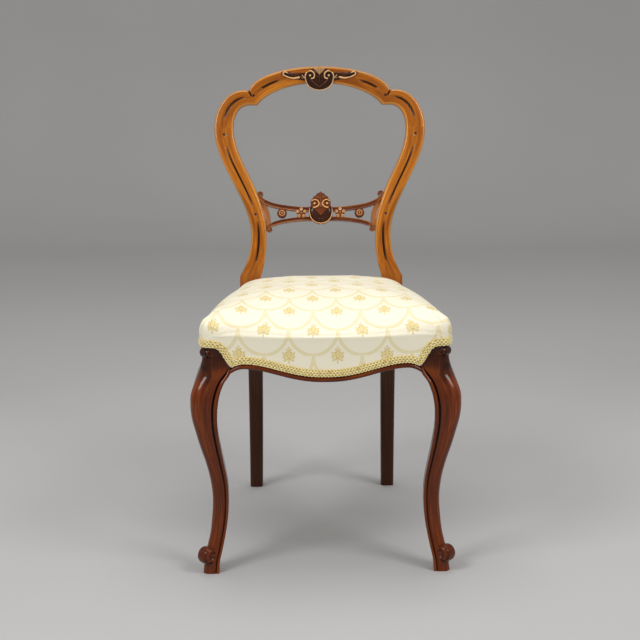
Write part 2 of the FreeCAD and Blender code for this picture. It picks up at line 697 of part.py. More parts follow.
def front_leg():
    """Right front leg: block, carved ear, knee, ankle, scroll toe and its pad."""
    wires = [leg_section(RAIL_TOP * share, offset, half) for share, offset, half in CABRIOLE]
    body = loft(wires)
    block_z = RAIL_TOP * CABRIOLE[-1][0] - 14
    block = leg_block(0.0, block_z)
    ear = leg_block(EAR_RELIEF, block_z).common(ear_zone(0, LAY))
    axis = Vector(1, 1, 0).normalize()
    toe = Vector(FRONT_LEG_X + TOE_OFFSET, FRONT_LEG_Y - TOE_OFFSET, TOE_Z)
    rings = [(-1, 0.76), (-0.5, 0.94), (0, 1), (0.5, 0.94), (1, 0.76)]
    across, upright = square_to(axis)
    wires = []
    for place, share in rings:
        centre = toe + axis * (TOE_HALF_WIDTH * place)
        r = TOE_RADIUS * share
        wires.append(closed_wire([centre + across * (r * math.cos(turn)) + upright * (r * math.sin(turn))
                                  for turn in [2 * math.pi * i / 16 for i in range(16)]]))
    whorl = loft(wires)
    button = rod(toe - axis * (TOE_HALF_WIDTH + 1.5), axis, 2 * TOE_HALF_WIDTH + 3,
                 TOE_RADIUS * 0.32)
    return fuse_all([body, block, ear, whorl, button])


def side_x_at(y):
    return rail_face_x(y) - RAIL_THICKNESS / 2


def rail_dowels():
    """Dowels of the front, side and back rails as three groups, and all their holes."""
    upper = RAIL_TOP - 14
    lower = RAIL_TOP - 33
    radius = DOWEL_DIAMETER / 2
    groups = {"front_rail_dowels": [], "side_rail_dowels": [], "back_rail_dowels": []}
    holes = []
    for side in SIDES.values():
        for z in (upper, lower):
            places = {
                "front_rail_dowels": (Vector(side * (FRONT_LEG_X - BLOCK_HALF), FRONT_Y + 12, z),
                                      Vector(1, 0, 0)),
                "back_rail_dowels": (Vector(side * POST_INNER_X,
                                            BACK_RAIL_Y + BACK_RAIL_THICKNESS / 2, z - 7),
                                     Vector(1, 0, 0)),
            }
            for y in (FRONT_Y + LEG_BLOCK, POST_Y):
                places[y] = (Vector(side * side_x_at(y), y, z), BACKWARDS)
            for name, (middle, axis) in places.items():
                group = name if isinstance(name, str) else "side_rail_dowels"
                start = middle - axis * (DOWEL_LENGTH / 2)
                groups[group].append(rod(start, axis, DOWEL_LENGTH, radius))
                holes.append(rod(start - axis * FIT, axis, DOWEL_LENGTH + 2 * FIT, radius + FIT))
    return {name: Part.makeCompound(group) for name, group in groups.items()}, holes


def screw(head, direction):
    """Countersunk wood screw and its hole."""
    cone_length = SCREW_RADIUS * 1.5
    shank = rod(head, direction, SCREW_LENGTH, SCREW_RADIUS, sides=6)
    cone = rod(head, direction, cone_length, SCREW_RADIUS * 2, SCREW_RADIUS, 6)
    hole = rod(head, direction, SCREW_LENGTH + FIT, SCREW_RADIUS + FIT, sides=6)
    sink = rod(head, direction, cone_length, SCREW_RADIUS * 2 + FIT, SCREW_RADIUS + FIT, 6)
    way = rod(head - direction * 40, direction, 40, SCREW_RADIUS * 2 + FIT, sides=6)
    return shank.fuse(cone).removeSplitter(), hole.fuse([sink, way])


def corner_braces(neighbours):
    """Four corner braces cut to their neighbours, their screws, and the screw holes."""
    z0 = RAIL_TOP - BRACE_DROP - BRACE_DEPTH
    inner_y = FRONT_Y + RAIL_THICKNESS
    front = [Vector(FRONT_LEG_X - 95, inner_y - 9, z0), Vector(FRONT_X - 2, inner_y - 9, z0),
             Vector(FRONT_X - 2, inner_y + 101, z0)]
    rear = [Vector(POST_INNER_X - 54, BACK_RAIL_Y + 5, z0), Vector(POST_OUTER_X - 6, BACK_RAIL_Y + 5, z0),
            Vector(POST_OUTER_X - 6, BACK_RAIL_Y - 78, z0)]
    mid_z = z0 + BRACE_DEPTH / 2

    def seat_of_screw(triangle, x=None, y=None):
        """Point on the slanting face at a given x or y."""
        a, c = triangle[0], triangle[2]
        t = (x - a.x) / (c.x - a.x) if x is not None else (y - a.y) / (c.y - a.y)
        return Vector(a.x + (c.x - a.x) * t, a.y + (c.y - a.y) * t, mid_z)

    right = Vector(1, 0, 0)
    front_screws = [(seat_of_screw(front, x=front[0].x + 28), BACKWARDS * -1),
                    (seat_of_screw(front, y=front[2].y - 44), right)]
    rear_screws = [(seat_of_screw(rear, x=rear[0].x + 25), BACKWARDS),
                   (seat_of_screw(rear, y=rear[2].y + 40), right)]
    braces = {}
    screws = []
    holes = []
    for place, triangle, places in (("front", front, front_screws), ("rear", rear, rear_screws)):
        prism = polygon_prism(triangle, UP * BRACE_DEPTH)
        for name, side in SIDES.items():
            piece = prism if side > 0 else mirrored(prism)
            made = [screw(head, direction) for head, direction in places]
            if side < 0:
                made = [(mirrored(body), mirrored(hole)) for body, hole in made]
            braces["corner_brace_" + place + "_" + name] = largest(
                piece.cut(neighbours + [hole for body, hole in made]))
            screws += [body for body, hole in made]
            holes += [hole for body, hole in made]
    return braces, Part.makeCompound(screws), holes


# Upholstery


def strap(start, end, crossings, over_first):
    """Web from start to end, woven over and under the webs it meets."""
    along = (end - start).normalize()
    length = (end - start).Length
    half = WEB_WIDTH / 2 + 7
    low = RAIL_TOP
    high = RAIL_TOP + WEB_THICKNESS + WEB_SLACK
    path = [(0.0, low)]
    for i, place in enumerate(crossings):
        if (i % 2 == 0) == over_first:
            path += [(place - half - 8, low), (place - half, high), (place + half, high),
                     (place + half + 8, low)]
    path.append((length, low))
    under = [start + along * d + UP * (z - start.z) for d, z in path]
    top = [point + UP * WEB_THICKNESS for point in reversed(under)]
    across = along.cross(UP) * WEB_WIDTH
    web = polygon_prism(under + top, across)
    web.translate(across * -0.5)
    return web


def webbing():
    """Three webs front to back and four side to side, woven and tacked on the rails."""
    rows = [FRONT_Y + 62 + i * WEB_PITCH for i in range(4)]
    columns = [(i - 1) * WEB_PITCH for i in range(3)]
    y0 = FRONT_Y + 8
    y1 = BACK_RAIL_Y + BACK_RAIL_THICKNESS - 6
    long_webs = [strap(Vector(x, y0, RAIL_TOP), Vector(x, y1, RAIL_TOP),
                       [y - y0 for y in rows], i % 2 == 0) for i, x in enumerate(columns)]
    cross_webs = []
    for i, y in enumerate(rows):
        reach = rail_face_x(y) - 7
        cross_webs.append(strap(Vector(-reach, y, RAIL_TOP), Vector(reach, y, RAIL_TOP),
                                [x + reach for x in columns], i % 2 == 1))
    return Part.makeCompound(long_webs), Part.makeCompound(cross_webs)


def seat_form(offset):
    """Whole stuffed seat down past the rails; offset thickens it outwards."""
    base = COVER_THICKNESS + LAY
    lower = [(-85, base), (-30, base), (2, base + ROLL)]
    rings = [seat_outline(RAIL_TOP + dz, overhang + offset) for dz, overhang in lower]
    upper = [(19, base + ROLL * 0.8, 0, 0.3), (28, -EDGE_TURN * 0.4, 0, 0.8)]
    upper += [(CROWN * rise, -EDGE_TURN, shrink, 1) for shrink, rise in CROWN_LINE]
    for dz, overhang, shrink, lift in upper:
        ring = seat_outline(RAIL_TOP + dz + offset * lift, overhang + offset, shrink)
        middle_y = (FRONT_Y + SEAT_BACK_Y) / 2
        rings.append([point + UP * (SEAT_TILT * (middle_y - point.y)) for point in ring])
    return faceted(rings)


def trim_zones(raise_by):
    """Everything under the lower edge of the cover, raised by a given amount."""
    up = 2 * BEAD_RADIUS + BRAID_LIFT + raise_by
    floor_z = RAIL_TOP - FRONT_RAIL_DEPTH - 60
    half = FRONT_LEG_X - 29
    y0 = FRONT_LEG_Y + 29
    front = below_line(front_line(up, half, FRONT_Y - 40), floor_z, BACKWARDS * 90)
    side = below_line(side_line(up, POST_INNER_X - 20, y0, POST_BACK_Y + 20), floor_z,
                      Vector(160, 0, 0))
    rear = box(-POST_INNER_X - 30, POST_INNER_X + 30, POST_Y - 20, POST_BACK_Y + 40, floor_z,
               RAIL_TOP - BACK_RAIL_DEPTH + up)
    ear = ear_zone(raise_by, 0)
    return [front, side, mirrored(side), rear, ear, mirrored(ear)]


def post_notches():
    """Space kept clear for the back posts at the rear corners of the upholstery."""
    notch = box(POST_INNER_X - LAY, FRONT_X + 60, POST_Y - LAY, POST_BACK_Y + 60,
                RAIL_TOP - FRONT_RAIL_DEPTH - 60, POST_CORNER_Z + 60)
    return [notch, mirrored(notch)]


def upholstery():
    """Hessian, first stuffing, top stuffing, cover and braid, each inside the next."""
    notches = post_notches()
    outer = seat_form(0)
    cover = outer.cut([seat_form(-COVER_THICKNESS)] + trim_zones(0) + notches)
    braid = seat_form(BRAID_THICKNESS).cut([outer] + notches)
    band = trim_zones(BRAID_WIDTH)
    band = band[0].fuse(band[1:])
    braid = braid.common(band).cut(trim_zones(0))
    base_z = RAIL_TOP + 2 * WEB_THICKNESS + WEB_SLACK
    split_z = base_z + HESSIAN_THICKNESS + EDGE_HEIGHT
    hessian = polygon_prism(seat_outline(base_z, -6), UP * HESSIAN_THICKNESS).cut(notches)
    stuffing = seat_form(-COVER_THICKNESS - LAY)
    under = polygon_prism(seat_outline(RAIL_TOP - 200, LAY),
                          UP * (200 + base_z - RAIL_TOP + HESSIAN_THICKNESS))
    rim = RAIL_TOP - 24
    first = stuffing.common(box(-400, 400, -400, 400, rim, split_z))
    first = first.cut([under] + trim_zones(COVER_THICKNESS + LAY) + notches)
    top = stuffing.common(box(-400, 400, -400, 400, split_z, RAIL_TOP + CROWN + 20)).cut(notches)
    return {
        "hessian_base": largest(hessian),
        "first_stuffing": largest(first),
        "top_stuffing": largest(top),
        "seat_cover": largest(cover),
        "braid_trim": braid,
    }


def main():
    post = back_post()
    posts = [mirrored(post), post]
    nodes = {}
    crest_rail = crest()
    nodes["crest_dowels"], crest_holes = crest_dowels()
    nodes["crest_carving"] = crest_carving(crest_rail)
    nodes["mid_rail"], mortises = mid_rail(posts)
    nodes["mid_rail_cartouche"] = mid_cartouche(nodes["mid_rail"])
    dowels, dowel_holes = rail_dowels()
    nodes.update(dowels)
    leg = front_leg()
    legs = [mirrored(leg), leg]
    side = side_rail()
    rails = {"front_rail": front_rail(), "side_rail_left": mirrored(side),
             "side_rail_right": side, "back_rail": back_rail()}
    neighbours = legs + posts + list(rails.values())
    braces, nodes["brace_screws"], screw_holes = corner_braces(neighbours)
    nodes.update(braces)
    for name, rail in rails.items():
        nodes[name] = rail.cut(dowel_holes + screw_holes)
    nodes["crest_rail"] = crest_rail.cut(crest_holes)
    for name, body, front in zip(SIDES, posts, legs):
        nodes["stile_leg_" + name] = body.cut(crest_holes + mortises + dowel_holes)
        nodes["front_leg_" + name] = front.cut(dowel_holes)
    nodes["webbing_front_to_back"], nodes["webbing_side_to_side"] = webbing()
    nodes.update(upholstery())
    os.makedirs("parts", exist_ok=True)
    for name in sorted(nodes):
        nodes[name].exportStep("parts/" + name + ".step")
    return nodes


main()
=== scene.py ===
"""Looks of a walnut balloon back dining chair with a stuffed-over damask seat.

Metres, +Z up, the sitter faces -Y, the origin is on the floor under the middle of the chair.
"""

import math

import bpy
import numpy as np
from mathutils import Matrix, Vector


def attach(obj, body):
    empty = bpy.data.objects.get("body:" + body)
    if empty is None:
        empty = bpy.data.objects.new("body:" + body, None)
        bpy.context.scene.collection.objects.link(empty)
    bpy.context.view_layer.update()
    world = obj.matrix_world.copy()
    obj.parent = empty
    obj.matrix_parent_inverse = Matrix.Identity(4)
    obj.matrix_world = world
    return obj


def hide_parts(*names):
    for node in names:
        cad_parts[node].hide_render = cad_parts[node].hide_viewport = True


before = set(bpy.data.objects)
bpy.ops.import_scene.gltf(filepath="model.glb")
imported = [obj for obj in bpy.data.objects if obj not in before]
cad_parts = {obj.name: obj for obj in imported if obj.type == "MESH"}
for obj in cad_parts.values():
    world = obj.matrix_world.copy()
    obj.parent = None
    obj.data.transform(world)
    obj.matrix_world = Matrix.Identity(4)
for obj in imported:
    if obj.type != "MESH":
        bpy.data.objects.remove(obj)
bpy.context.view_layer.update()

# Driving sizes, the same as the solids have
FRONT_LEG = (0.195, -0.23934)
BLOCK_HALF = 0.025
FRONT_X = FRONT_LEG[0] + BLOCK_HALF
FRONT_Y = FRONT_LEG[1] - BLOCK_HALF
CORNER_RADIUS = 0.014
RAIL_TOP = 0.432
RAIL_THICKNESS = 0.024
FRONT_RAIL_DEPTH = 0.071
FRONT_RAIL_RISE = 0.0245
SIDE_RAIL_DEPTH = 0.058
BRACKET_RUN = 0.024
BEAD = 0.004
POST_Y = FRONT_LEG[1] + 0.397
POST_OUTER_X = 0.1668
POST_INNER_X = 0.1245
SEAT_BACK_Y = POST_Y + 0.028
POST_FOOT_Z = 0.370
POST_CORNER_Z = 0.470
WAIST = (0.143, 0.555)
BALLOON = (0.218, 0.765)
JOINT_Z = BALLOON[1] + 0.003
CREST_TOP = 0.891
NOTCH_FACE_X = 0.131
INNER_RISE = 0.046
MID_RAIL_Z = 0.597
SEAT_TILT = 0.05
CORNER_LIFT = 0.008
MM = 0.001

# More sizes of the back, its mouldings, the rails and the seat
LEG_TAPER_Z = 0.342
POST_DEPTH = 0.034
POST_FACE = 0.0315
SHOULDER_CENTRE_X = 0.157
ARCH_HALF_SPAN = 0.148
ARCH_NOTCH_X = 0.1465
ARCH_FACE = 0.034
INNER_STEP = 0.012
FACE_CROWN = 0.002
FACE_VALLEY = 0.0009
CHANNEL_HALF = 0.0023
CHANNEL_DEPTH = 0.0026
PAINTED_EDGE_HIGHLIGHT = 0.45
BRACKET_DROP = 0.0089
EAR_FROM_LEG = -0.030
GAP_AT_POST = 0.0006
FRONT_ROLL = 0.014


# Small helpers for numbers and curves

OTHER_SIDE = np.array([-1.0, 1.0])


def smooth(t):
    """Eases from 0 to 1."""
    t = np.clip(t, 0.0, 1.0)
    return t * t * (3 - 2 * t)


def through(table, t):
    """Smooth curve through the rows of a table; its first column is the place along it."""
    table = np.array(table, float)
    place = table[:, 0]
    t = np.clip(np.asarray(t, float), place[0], place[-1])
    slope = np.gradient(table[:, 1:], place, axis=0)
    i = np.clip(np.searchsorted(place, t, side="right") - 1, 0, len(place) - 2)
    h = (place[i + 1] - place[i])[..., None]
    s = (t - place[i])[..., None] / h
    return ((2 * s ** 3 - 3 * s ** 2 + 1) * table[i, 1:] + (s ** 3 - 2 * s ** 2 + s) * h * slope[i]
            + (3 * s ** 2 - 2 * s ** 3) * table[i + 1, 1:] + (s ** 3 - s ** 2) * h * slope[i + 1])


def drawn_line(points, count):
    """Even points along the smooth curve through a few points."""
    points = np.array(points, float)
    length = np.concatenate([[0], np.cumsum(np.linalg.norm(np.diff(points, axis=0), axis=1))])
    return through(np.column_stack([length, points]), np.linspace(0, length[-1], count))


def unit(v):
    return v / np.linalg.norm(v, axis=-1, keepdims=True)


# Making pieces


def skin(name, rows, relief=None, closed=True, capped=True, uv=None):
    """Lays a grid over rows of points; relief, its painted shade and painted highlight, is kept on it for
    the finish.
    """
    along, around = rows.shape[:2]
    last = around if closed else around - 1
    bpy.ops.object.select_all(action="DESELECT")
    bpy.ops.mesh.primitive_grid_add(x_subdivisions=along - 1, y_subdivisions=last, size=1)
    piece = bpy.context.object
    piece.name = name
    mesh = piece.data
    flat = np.empty(len(mesh.vertices) * 3)
    mesh.vertices.foreach_get("co", flat)
    flat = flat.reshape(-1, 3)
    i = np.rint((flat[:, 0] + 0.5) * (along - 1)).astype(int)
    j = np.rint((flat[:, 1] + 0.5) * last).astype(int)
    mesh.vertices.foreach_set("co", rows[i, j % around].ravel())
    if uv is None:
        ring = np.concatenate([rows, rows[:, :1]], axis=1)
        middle = rows.mean(axis=1)
        s = np.concatenate([[0], np.cumsum(np.linalg.norm(np.diff(middle, axis=0), axis=1))])
        w = np.linalg.norm(np.diff(ring, axis=1), axis=2).mean(axis=0)
        w = np.concatenate([[0], np.cumsum(w)])
        uv = np.stack(np.broadcast_arrays(s[:, None], w[None, :]), axis=2)
    corners = np.empty(len(mesh.loops), dtype=np.int32)
    mesh.loops.foreach_get("vertex_index", corners)
    mesh.uv_layers[0].data.foreach_set("uv", uv[i[corners], j[corners]].astype(np.float32).ravel())
    values = np.zeros(rows.shape[:2]) if relief is None else relief
    layer = mesh.attributes.new("relief", "FLOAT", "POINT")
    layer.data.foreach_set("value", values[i, j % around].astype(np.float32))
    bpy.ops.object.mode_set(mode="EDIT")
    bpy.ops.mesh.select_all(action="SELECT")
    bpy.ops.mesh.remove_doubles(threshold=1e-6)
    if capped:
        bpy.ops.mesh.fill_holes(sides=0)
    bpy.ops.mesh.normals_make_consistent(inside=False)
    bpy.ops.object.mode_set(mode="OBJECT")
    bpy.ops.object.shade_smooth_by_angle(angle=math.radians(42))
    return piece


def thicken(piece, thickness, offset):
    """Gives the sheet just made a thickness; offset 0 shares it between both sides."""
    wall = piece.modifiers.new("wall", "SOLIDIFY")
    wall.thickness = thickness
    wall.offset = offset
    bpy.ops.object.modifier_apply(modifier=wall.name)


def mirror_image(piece, name):
    """Own copy of a piece on the other side of the middle."""
    copy = piece.copy()
    copy.data = piece.data.copy()
    copy.name = name
    bpy.context.scene.collection.objects.link(copy)
    copy.data.transform(Matrix.Diagonal((-1, 1, 1, 1)))
    copy.data.flip_normals()
    return copy


def joined(name, pieces):
    bpy.ops.object.select_all(action="DESELECT")
    for piece in pieces:
        piece.select_set(True)
    bpy.context.view_layer.objects.active = pieces[0]
    bpy.ops.object.join()
    pieces[0].name = name
    return pieces[0]


def finish(piece, material, slot, *nodes):
    piece.data.materials.clear()
    piece.data.materials.append(material)
    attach(piece, "root")
    if nodes:
        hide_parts(*nodes)
    return piece


# Finishes


def srgb(code):
    """Linear colour from a hex code."""
    parts = [int(code[i:i + 2], 16) / 255 for i in (1, 3, 5)]
    return [p / 12.92 if p <= 0.04045 else ((p + 0.055) / 1.055) ** 2.4 for p in parts] + [1.0]


def add(tree, kind, settings=None, **links):
    """Adds a node with its settings; links name its sockets, by number as s0, s1 or by name."""
    node = tree.nodes.new("ShaderNode" + kind)
    for key, value in (settings or {}).items():
        if key == "ramp":
            ramp = node.color_ramp
            while len(ramp.elements) < len(value):
                ramp.elements.new(0.5)
            for element, (place, code) in zip(ramp.elements, value):
                element.position = place
                element.color = srgb(code)
        elif key.startswith("in"):
            node.inputs[int(key[2:])].default_value = value
        else:
            setattr(node, key, value)
    for key, socket in links.items():
        slot = node.inputs[int(key[1:])] if key[1:].isdigit() else node.inputs[key.replace("_", " ")]
        if isinstance(socket, (int, float)):
            slot.default_value = socket
        else:
            tree.links.new(socket, slot)
    return node


def new_material(name):
    material = bpy.data.materials.new(name)
    material.use_nodes = True
    return material, material.node_tree, material.node_tree.nodes["Principled BSDF"]


def maths(tree, operation, a, b=0.0, c=0.0):
    return add(tree, "Math", {"operation": operation}, s0=a, s1=b, s2=c).outputs[0]


def map_range(tree, value, low, high, start=0.0, end=1.0):
    """Value from low to high becomes start to end, and stays there beyond."""
    return add(tree, "MapRange", {"in1": low, "in2": high, "in3": start, "in4": end}, Value=value).outputs[0]


def noise(tree, vector, scale, detail, roughness=0.5, distortion=0.0):
    return add(tree, "TexNoise", {"in2": scale, "in3": detail, "in4": roughness, "in8": distortion},
               Vector=vector).outputs[0]


def stretched(tree, vector, scales):
    """Coordinates scaled by a factor for each axis."""
    return add(tree, "Mapping", {"in3": scales}, Vector=vector).outputs[0]


def colour_ramp(tree, value, stops):
    return add(tree, "ValToRGB", {"ramp": stops}, Fac=value).outputs[0]


def bump(tree, height, strength, distance):
    return add(tree, "Bump", {"in0": strength, "in1": distance}, Height=height).outputs[0]


def relief_value(tree):
    return add(tree, "Attribute", {"attribute_name": "relief"}).outputs["Fac"]


def place_in(tree, space):
    return add(tree, "TexCoord").outputs[space]


def set_inputs(tree, shader, values):
    """Sets inputs of the shader, each to a number or a socket."""
    for name, value in values.items():
        if isinstance(value, (int, float)):
            shader.inputs[name].default_value = value
        else:
            tree.links.new(value, shader.inputs[name])


def blend_colours(tree, share, a, b):
    """Mixes two colours, each a hex code or a socket."""
    node = tree.nodes.new("ShaderNodeMix")
    node.data_type = "RGBA"
    for slot, value in ((0, share), (6, a), (7, b)):
        if isinstance(value, str):
            node.inputs[slot].default_value = srgb(value)
        elif isinstance(value, (int, float)):
            node.inputs[slot].default_value = value
        else:
            tree.links.new(value, node.inputs[slot])
    return node.outputs[2]


def polished_wood(name, dark, middle, light, pores_and_shade, painted_highlight, roughness=0.26, dark_below=None):
    """Walnut, french polished: streaked grain along each piece, painted shade in cuts and hollows, painted
    highlights on arrises and ridges.

    The grain runs along the piece on its own UV map, which is in metres.
    """
    material, tree, shader = new_material(name)
    uv = place_in(tree, "UV")
    streaks = noise(tree, stretched(tree, uv, (9.0, 260.0, 1.0)), 1.0, 5.0, 0.62, 1.6)
    figure = noise(tree, stretched(tree, uv, (5.0, 42.0, 1.0)), 1.0, 3.0, 0.55, 1.1)
    pores = noise(tree, stretched(tree, uv, (60.0, 1500.0, 1.0)), 1.0, 2.0)
    grain = maths(tree, "MULTIPLY_ADD", streaks, 0.45, maths(tree, "MULTIPLY", figure, 0.55))
    colour = colour_ramp(tree, grain, [(0.34, dark), (0.5, middle), (0.66, light)])
    colour = blend_colours(tree, map_range(tree, pores, 0.60, 0.72, 0.0, 0.35), colour, pores_and_shade)
    if dark_below is not None:
        height = add(tree, "SeparateXYZ", s0=place_in(tree, "Object")).outputs[2]
        stain = map_range(tree, height, dark_below + 0.05, dark_below - 0.05, 0.0, 0.93)
        colour = blend_colours(tree, stain, colour, "#2c1106")
    relief = relief_value(tree)
    # Painted shade: relief below 0 darkens grooves, quirks, eyes and carving hollows towards the dark pore
    # colour.
    colour = blend_colours(tree, map_range(tree, relief, 0.0, -1.0), colour, pores_and_shade)
    # Painted highlight: relief above 0 lightens arrises, beads and carving ridges.
    colour = blend_colours(tree, map_range(tree, relief, 0.25, 1.0), colour, painted_highlight)
    gloss = map_range(tree, figure, 0.3, 0.7, roughness - 0.05, roughness + 0.07)
    set_inputs(tree, shader, {
        "Base Color": colour, "Roughness": gloss, "IOR": 1.5, "Specular IOR Level": 0.12,
        "Coat Weight": 0.32, "Coat Roughness": 0.08, "Normal": bump(tree, streaks, 0.12, 0.0006)})
    return material


# In each walnut the fifth colour is the pores and the painted shade in hollows, the sixth the painted
# highlight on arrises and ridges.
back_walnut = polished_wood("french_polished_walnut_back", "#6f3407", "#a65c0e", "#cd801f", "#2c1406",
                            "#efbe70", dark_below=0.42)
leg_walnut = polished_wood("french_polished_walnut_legs", "#381304", "#642805", "#92440d", "#190803",
                           "#b5651f", roughness=0.2)
carved_walnut = polished_wood("carved_walnut", "#43200c", "#643414", "#804c1c", "#28120a", "#dcae78")
rail_walnut = polished_wood("carved_walnut_mid_rail", "#5c2c12", "#854118", "#a55c26", "#260f07",
                            "#e0a86c")


# Back: posts, crest


def post_front_y(z):
    kick = POST_Y + 0.050 * np.clip(1 - z / POST_FOOT_Z, 0, 1) ** 1.7
    rake = POST_Y + 0.103 * smooth((z - POST_CORNER_Z) / (CREST_TOP - POST_CORNER_Z))
    return np.where(z < POST_FOOT_Z, kick, rake)


def post_outer_x(z):
    above = WAIST[0] + (BALLOON[0] - WAIST[0]) * smooth((z - WAIST[1]) / (BALLOON[1] - WAIST[1]))
    drop = np.clip((WAIST[1] - z) / (WAIST[1] - POST_CORNER_Z), 0, 1)
    return np.where(z > WAIST[1], above, WAIST[0] + (POST_OUTER_X - WAIST[0]) * drop ** 2.2)


def post_face(z):
    drop = np.clip((WAIST[1] - z) / (WAIST[1] - POST_CORNER_Z), 0, 1)
    above = POST_FACE + 0.0085 * smooth((z - WAIST[1]) / 0.12)
    return np.where(z > WAIST[1], above, POST_FACE + 0.0108 * drop ** 2)


def shoulder_edges(t):
    """Outer and inner edge of the shoulder, t from 0 at the joint to 1 at the notch."""
    turn = t * math.radians(100)
    outer = np.stack([SHOULDER_CENTRE_X + (BALLOON[0] - SHOULDER_CENTRE_X) * np.cos(turn),
                      JOINT_Z + 0.076 * np.sin(turn)], -1)
    turn = t * math.radians(96)
    reach = BALLOON[0] - 0.040 - NOTCH_FACE_X - INNER_STEP
    inner = np.stack([NOTCH_FACE_X + INNER_STEP + reach * np.clip(np.cos(turn), 0, 1) ** 0.85,
                      JOINT_Z + INNER_RISE * np.sin(turn) ** 0.85], -1)
    near = smooth((t - 0.93) / 0.07)[:, None]
    return outer, inner * (1 - near) + np.array([NOTCH_FACE_X, JOINT_Z + INNER_RISE - 0.0005]) * near


def arch_edges(t):
    """Outer and inner edge of the arch, t from -1 at one notch to 1 at the other."""
    turn = t * math.asin(ARCH_NOTCH_X / ARCH_HALF_SPAN)
    outer = np.stack([ARCH_HALF_SPAN * np.sin(turn), CREST_TOP - 0.0545 * (1 - np.cos(turn))], -1)
    half_span = NOTCH_FACE_X + INNER_STEP
    end = math.asin(NOTCH_FACE_X / half_span)
    rise = (CREST_TOP - ARCH_FACE - JOINT_Z - INNER_RISE + 0.0005) / (1 - math.cos(end))
    level = CREST_TOP - ARCH_FACE - rise * (1 - np.cos(t * end))
    return outer, np.stack([half_span * np.sin(t * end), level], -1)


def member(half, depth, edge, crown, valley, groove, painted_highlight):
    """Sections of a back member: a across its face, b into the wood, r its painted shade (below 0) and
    painted highlight (above 0).
    """
    half, depth, edge, crown, valley, groove, painted_highlight = np.broadcast_arrays(
        *[np.asarray(v, float)[..., None] for v in (half, depth, edge, crown, valley, groove, painted_highlight)])
    fine = 0.0032
    core = np.linspace(-fine, fine, 15) + 0 * half
    steps = np.linspace(0, 1, 8)[1:]
    side = fine + steps * (half - edge - fine)
    a = np.concatenate([-side[:, ::-1], core, side], 1)
    b = crown * (a / half) ** 2 + valley * (1 - smooth(np.abs(a) / (0.5 * half)))
    cut = groove * np.sqrt(np.clip(1 - (a / CHANNEL_HALF) ** 2, 0, 1))
    b = b + CHANNEL_DEPTH * cut
    arc = np.linspace(0, math.pi / 2, 6)
    foot = crown * (1 - edge / half) ** 2
    front = (half - edge + edge * np.sin(arc[1:]), foot + edge * (1 - np.cos(arc[1:])))
    rear = (half - edge + edge * np.cos(arc), depth - edge + edge * np.sin(arc))
    flat = np.linspace(1, -1, 7)[1:-1] * (half - edge)
    right_a = np.concatenate([front[0], rear[0]], 1)
    right_b = np.concatenate([front[1], rear[1]], 1)
    a = np.concatenate([a, right_a, flat, -right_a[:, ::-1]], 1)
    b = np.concatenate([b, right_b, depth + 0 * flat, right_b[:, ::-1]], 1)
    r = np.zeros_like(a)
    face = cut.shape[1]
    # Painted shade in the channel and faintly along the middle of the face; painted highlight on the
    # arrises.
    r[:, :face] = -1.15 * cut - 0.3 * painted_highlight * np.exp(-(a[:, :face] / 0.0055) ** 2)
    r[:, face:face + 4] = painted_highlight
    r[:, -4:] = painted_highlight
    return a, b, r


def swept_member(name, outer, inner, depth, edge, crown, valley, groove, painted_highlight, pits=(), cut=None):
    """Member between two edge lines in the front face of the back; pits are punched eyes."""
    p, q = (np.stack([line[:, 0], post_front_y(line[:, 1]), line[:, 1]], -1) for line in (outer, inner))
    across = unit(p - q)
    back = unit(np.array([0.0, 1.0, 0.0]) - across * across[:, 1:2])
    half = np.linalg.norm(p - q, axis=1) / 2
    a, b, r = member(half, depth, edge, crown, valley, groove, painted_highlight)
    if cut is not None:
        extra = cut(a, half)
        # The notch cut gets painted shade.
        b, r = b + 0.005 * extra, r - 1.2 * extra
    middle = (p + q) / 2
    rows = middle[:, None] + across[:, None] * a[..., None] + back[:, None] * b[..., None]
    for pit in pits:
        near = np.clip(1 - (np.linalg.norm(rows - pit, axis=2) / 0.0034) ** 2, 0, 1)
        rows = rows + back[:, None] * (0.0022 * near)[..., None]
        # Painted shade in each eye.
        r = r - 1.3 * near
    return skin(name, rows, r)


def swell(z, start, end):
    """Depth of a tapered channel that runs from start to end."""
    s = (z - start) / (end - start)
    return np.clip(4 * s * (1 - s), 0, 1) ** 0.45 * (s > 0) * (s < 1)


def face_point(z):
    x = post_outer_x(z) - post_face(z) / 2
    return np.array([float(x), float(post_front_y(np.array(z))), z])


leg_z = np.linspace(0.0, LEG_TAPER_Z, 46)
turn_z = np.linspace(LEG_TAPER_Z, POST_CORNER_Z, 40)[1:]
upper_z = np.linspace(POST_CORNER_Z, JOINT_Z, 190)[1:]
z = np.concatenate([leg_z, turn_z, upper_z])
is_leg = z < POST_FOOT_Z
into_block = smooth((z - LEG_TAPER_Z) / 0.028)
leg_half = (0.027 + 0.004 * z / LEG_TAPER_Z) / 2
leg_x = 0.138 + 0.003 * np.clip(1 - z / LEG_TAPER_Z, 0, 1) ** 2
outer_x = np.where(is_leg, (leg_x + leg_half) * (1 - into_block) + POST_OUTER_X * into_block,
                   post_outer_x(z))
inner_x = np.where(is_leg, (leg_x - leg_half) * (1 - into_block) + POST_INNER_X * into_block,
                   post_outer_x(z) - post_face(z))
thinning = smooth((z - POST_CORNER_Z) / 0.09)
post_depth = np.where(is_leg, (2 * leg_half + 0.001) * (1 - into_block) + POST_DEPTH * into_block,
                      POST_DEPTH - 0.010 * thinning)
# Above the seat the face is crowned and its arrises get the painted highlight.
above_seat = smooth((z - 0.478) / 0.03)
edge = np.where(is_leg, 0.0065 * (1 - into_block) + 0.002 * into_block, 0.002 + 0.0032 * thinning)
groove = np.maximum(swell(z, 0.612, 0.732), swell(z, 0.500, 0.582))
stile_right = swept_member(
    "back_post_right", np.stack([outer_x, z], -1), np.stack([inner_x, z], -1), post_depth, edge,
    FACE_CROWN * above_seat, FACE_VALLEY * above_seat, groove, PAINTED_EDGE_HIGHLIGHT * above_seat,
    [face_point(0.7545), face_point(0.5965)])
stile_left = mirror_image(stile_right, "back_post_left")

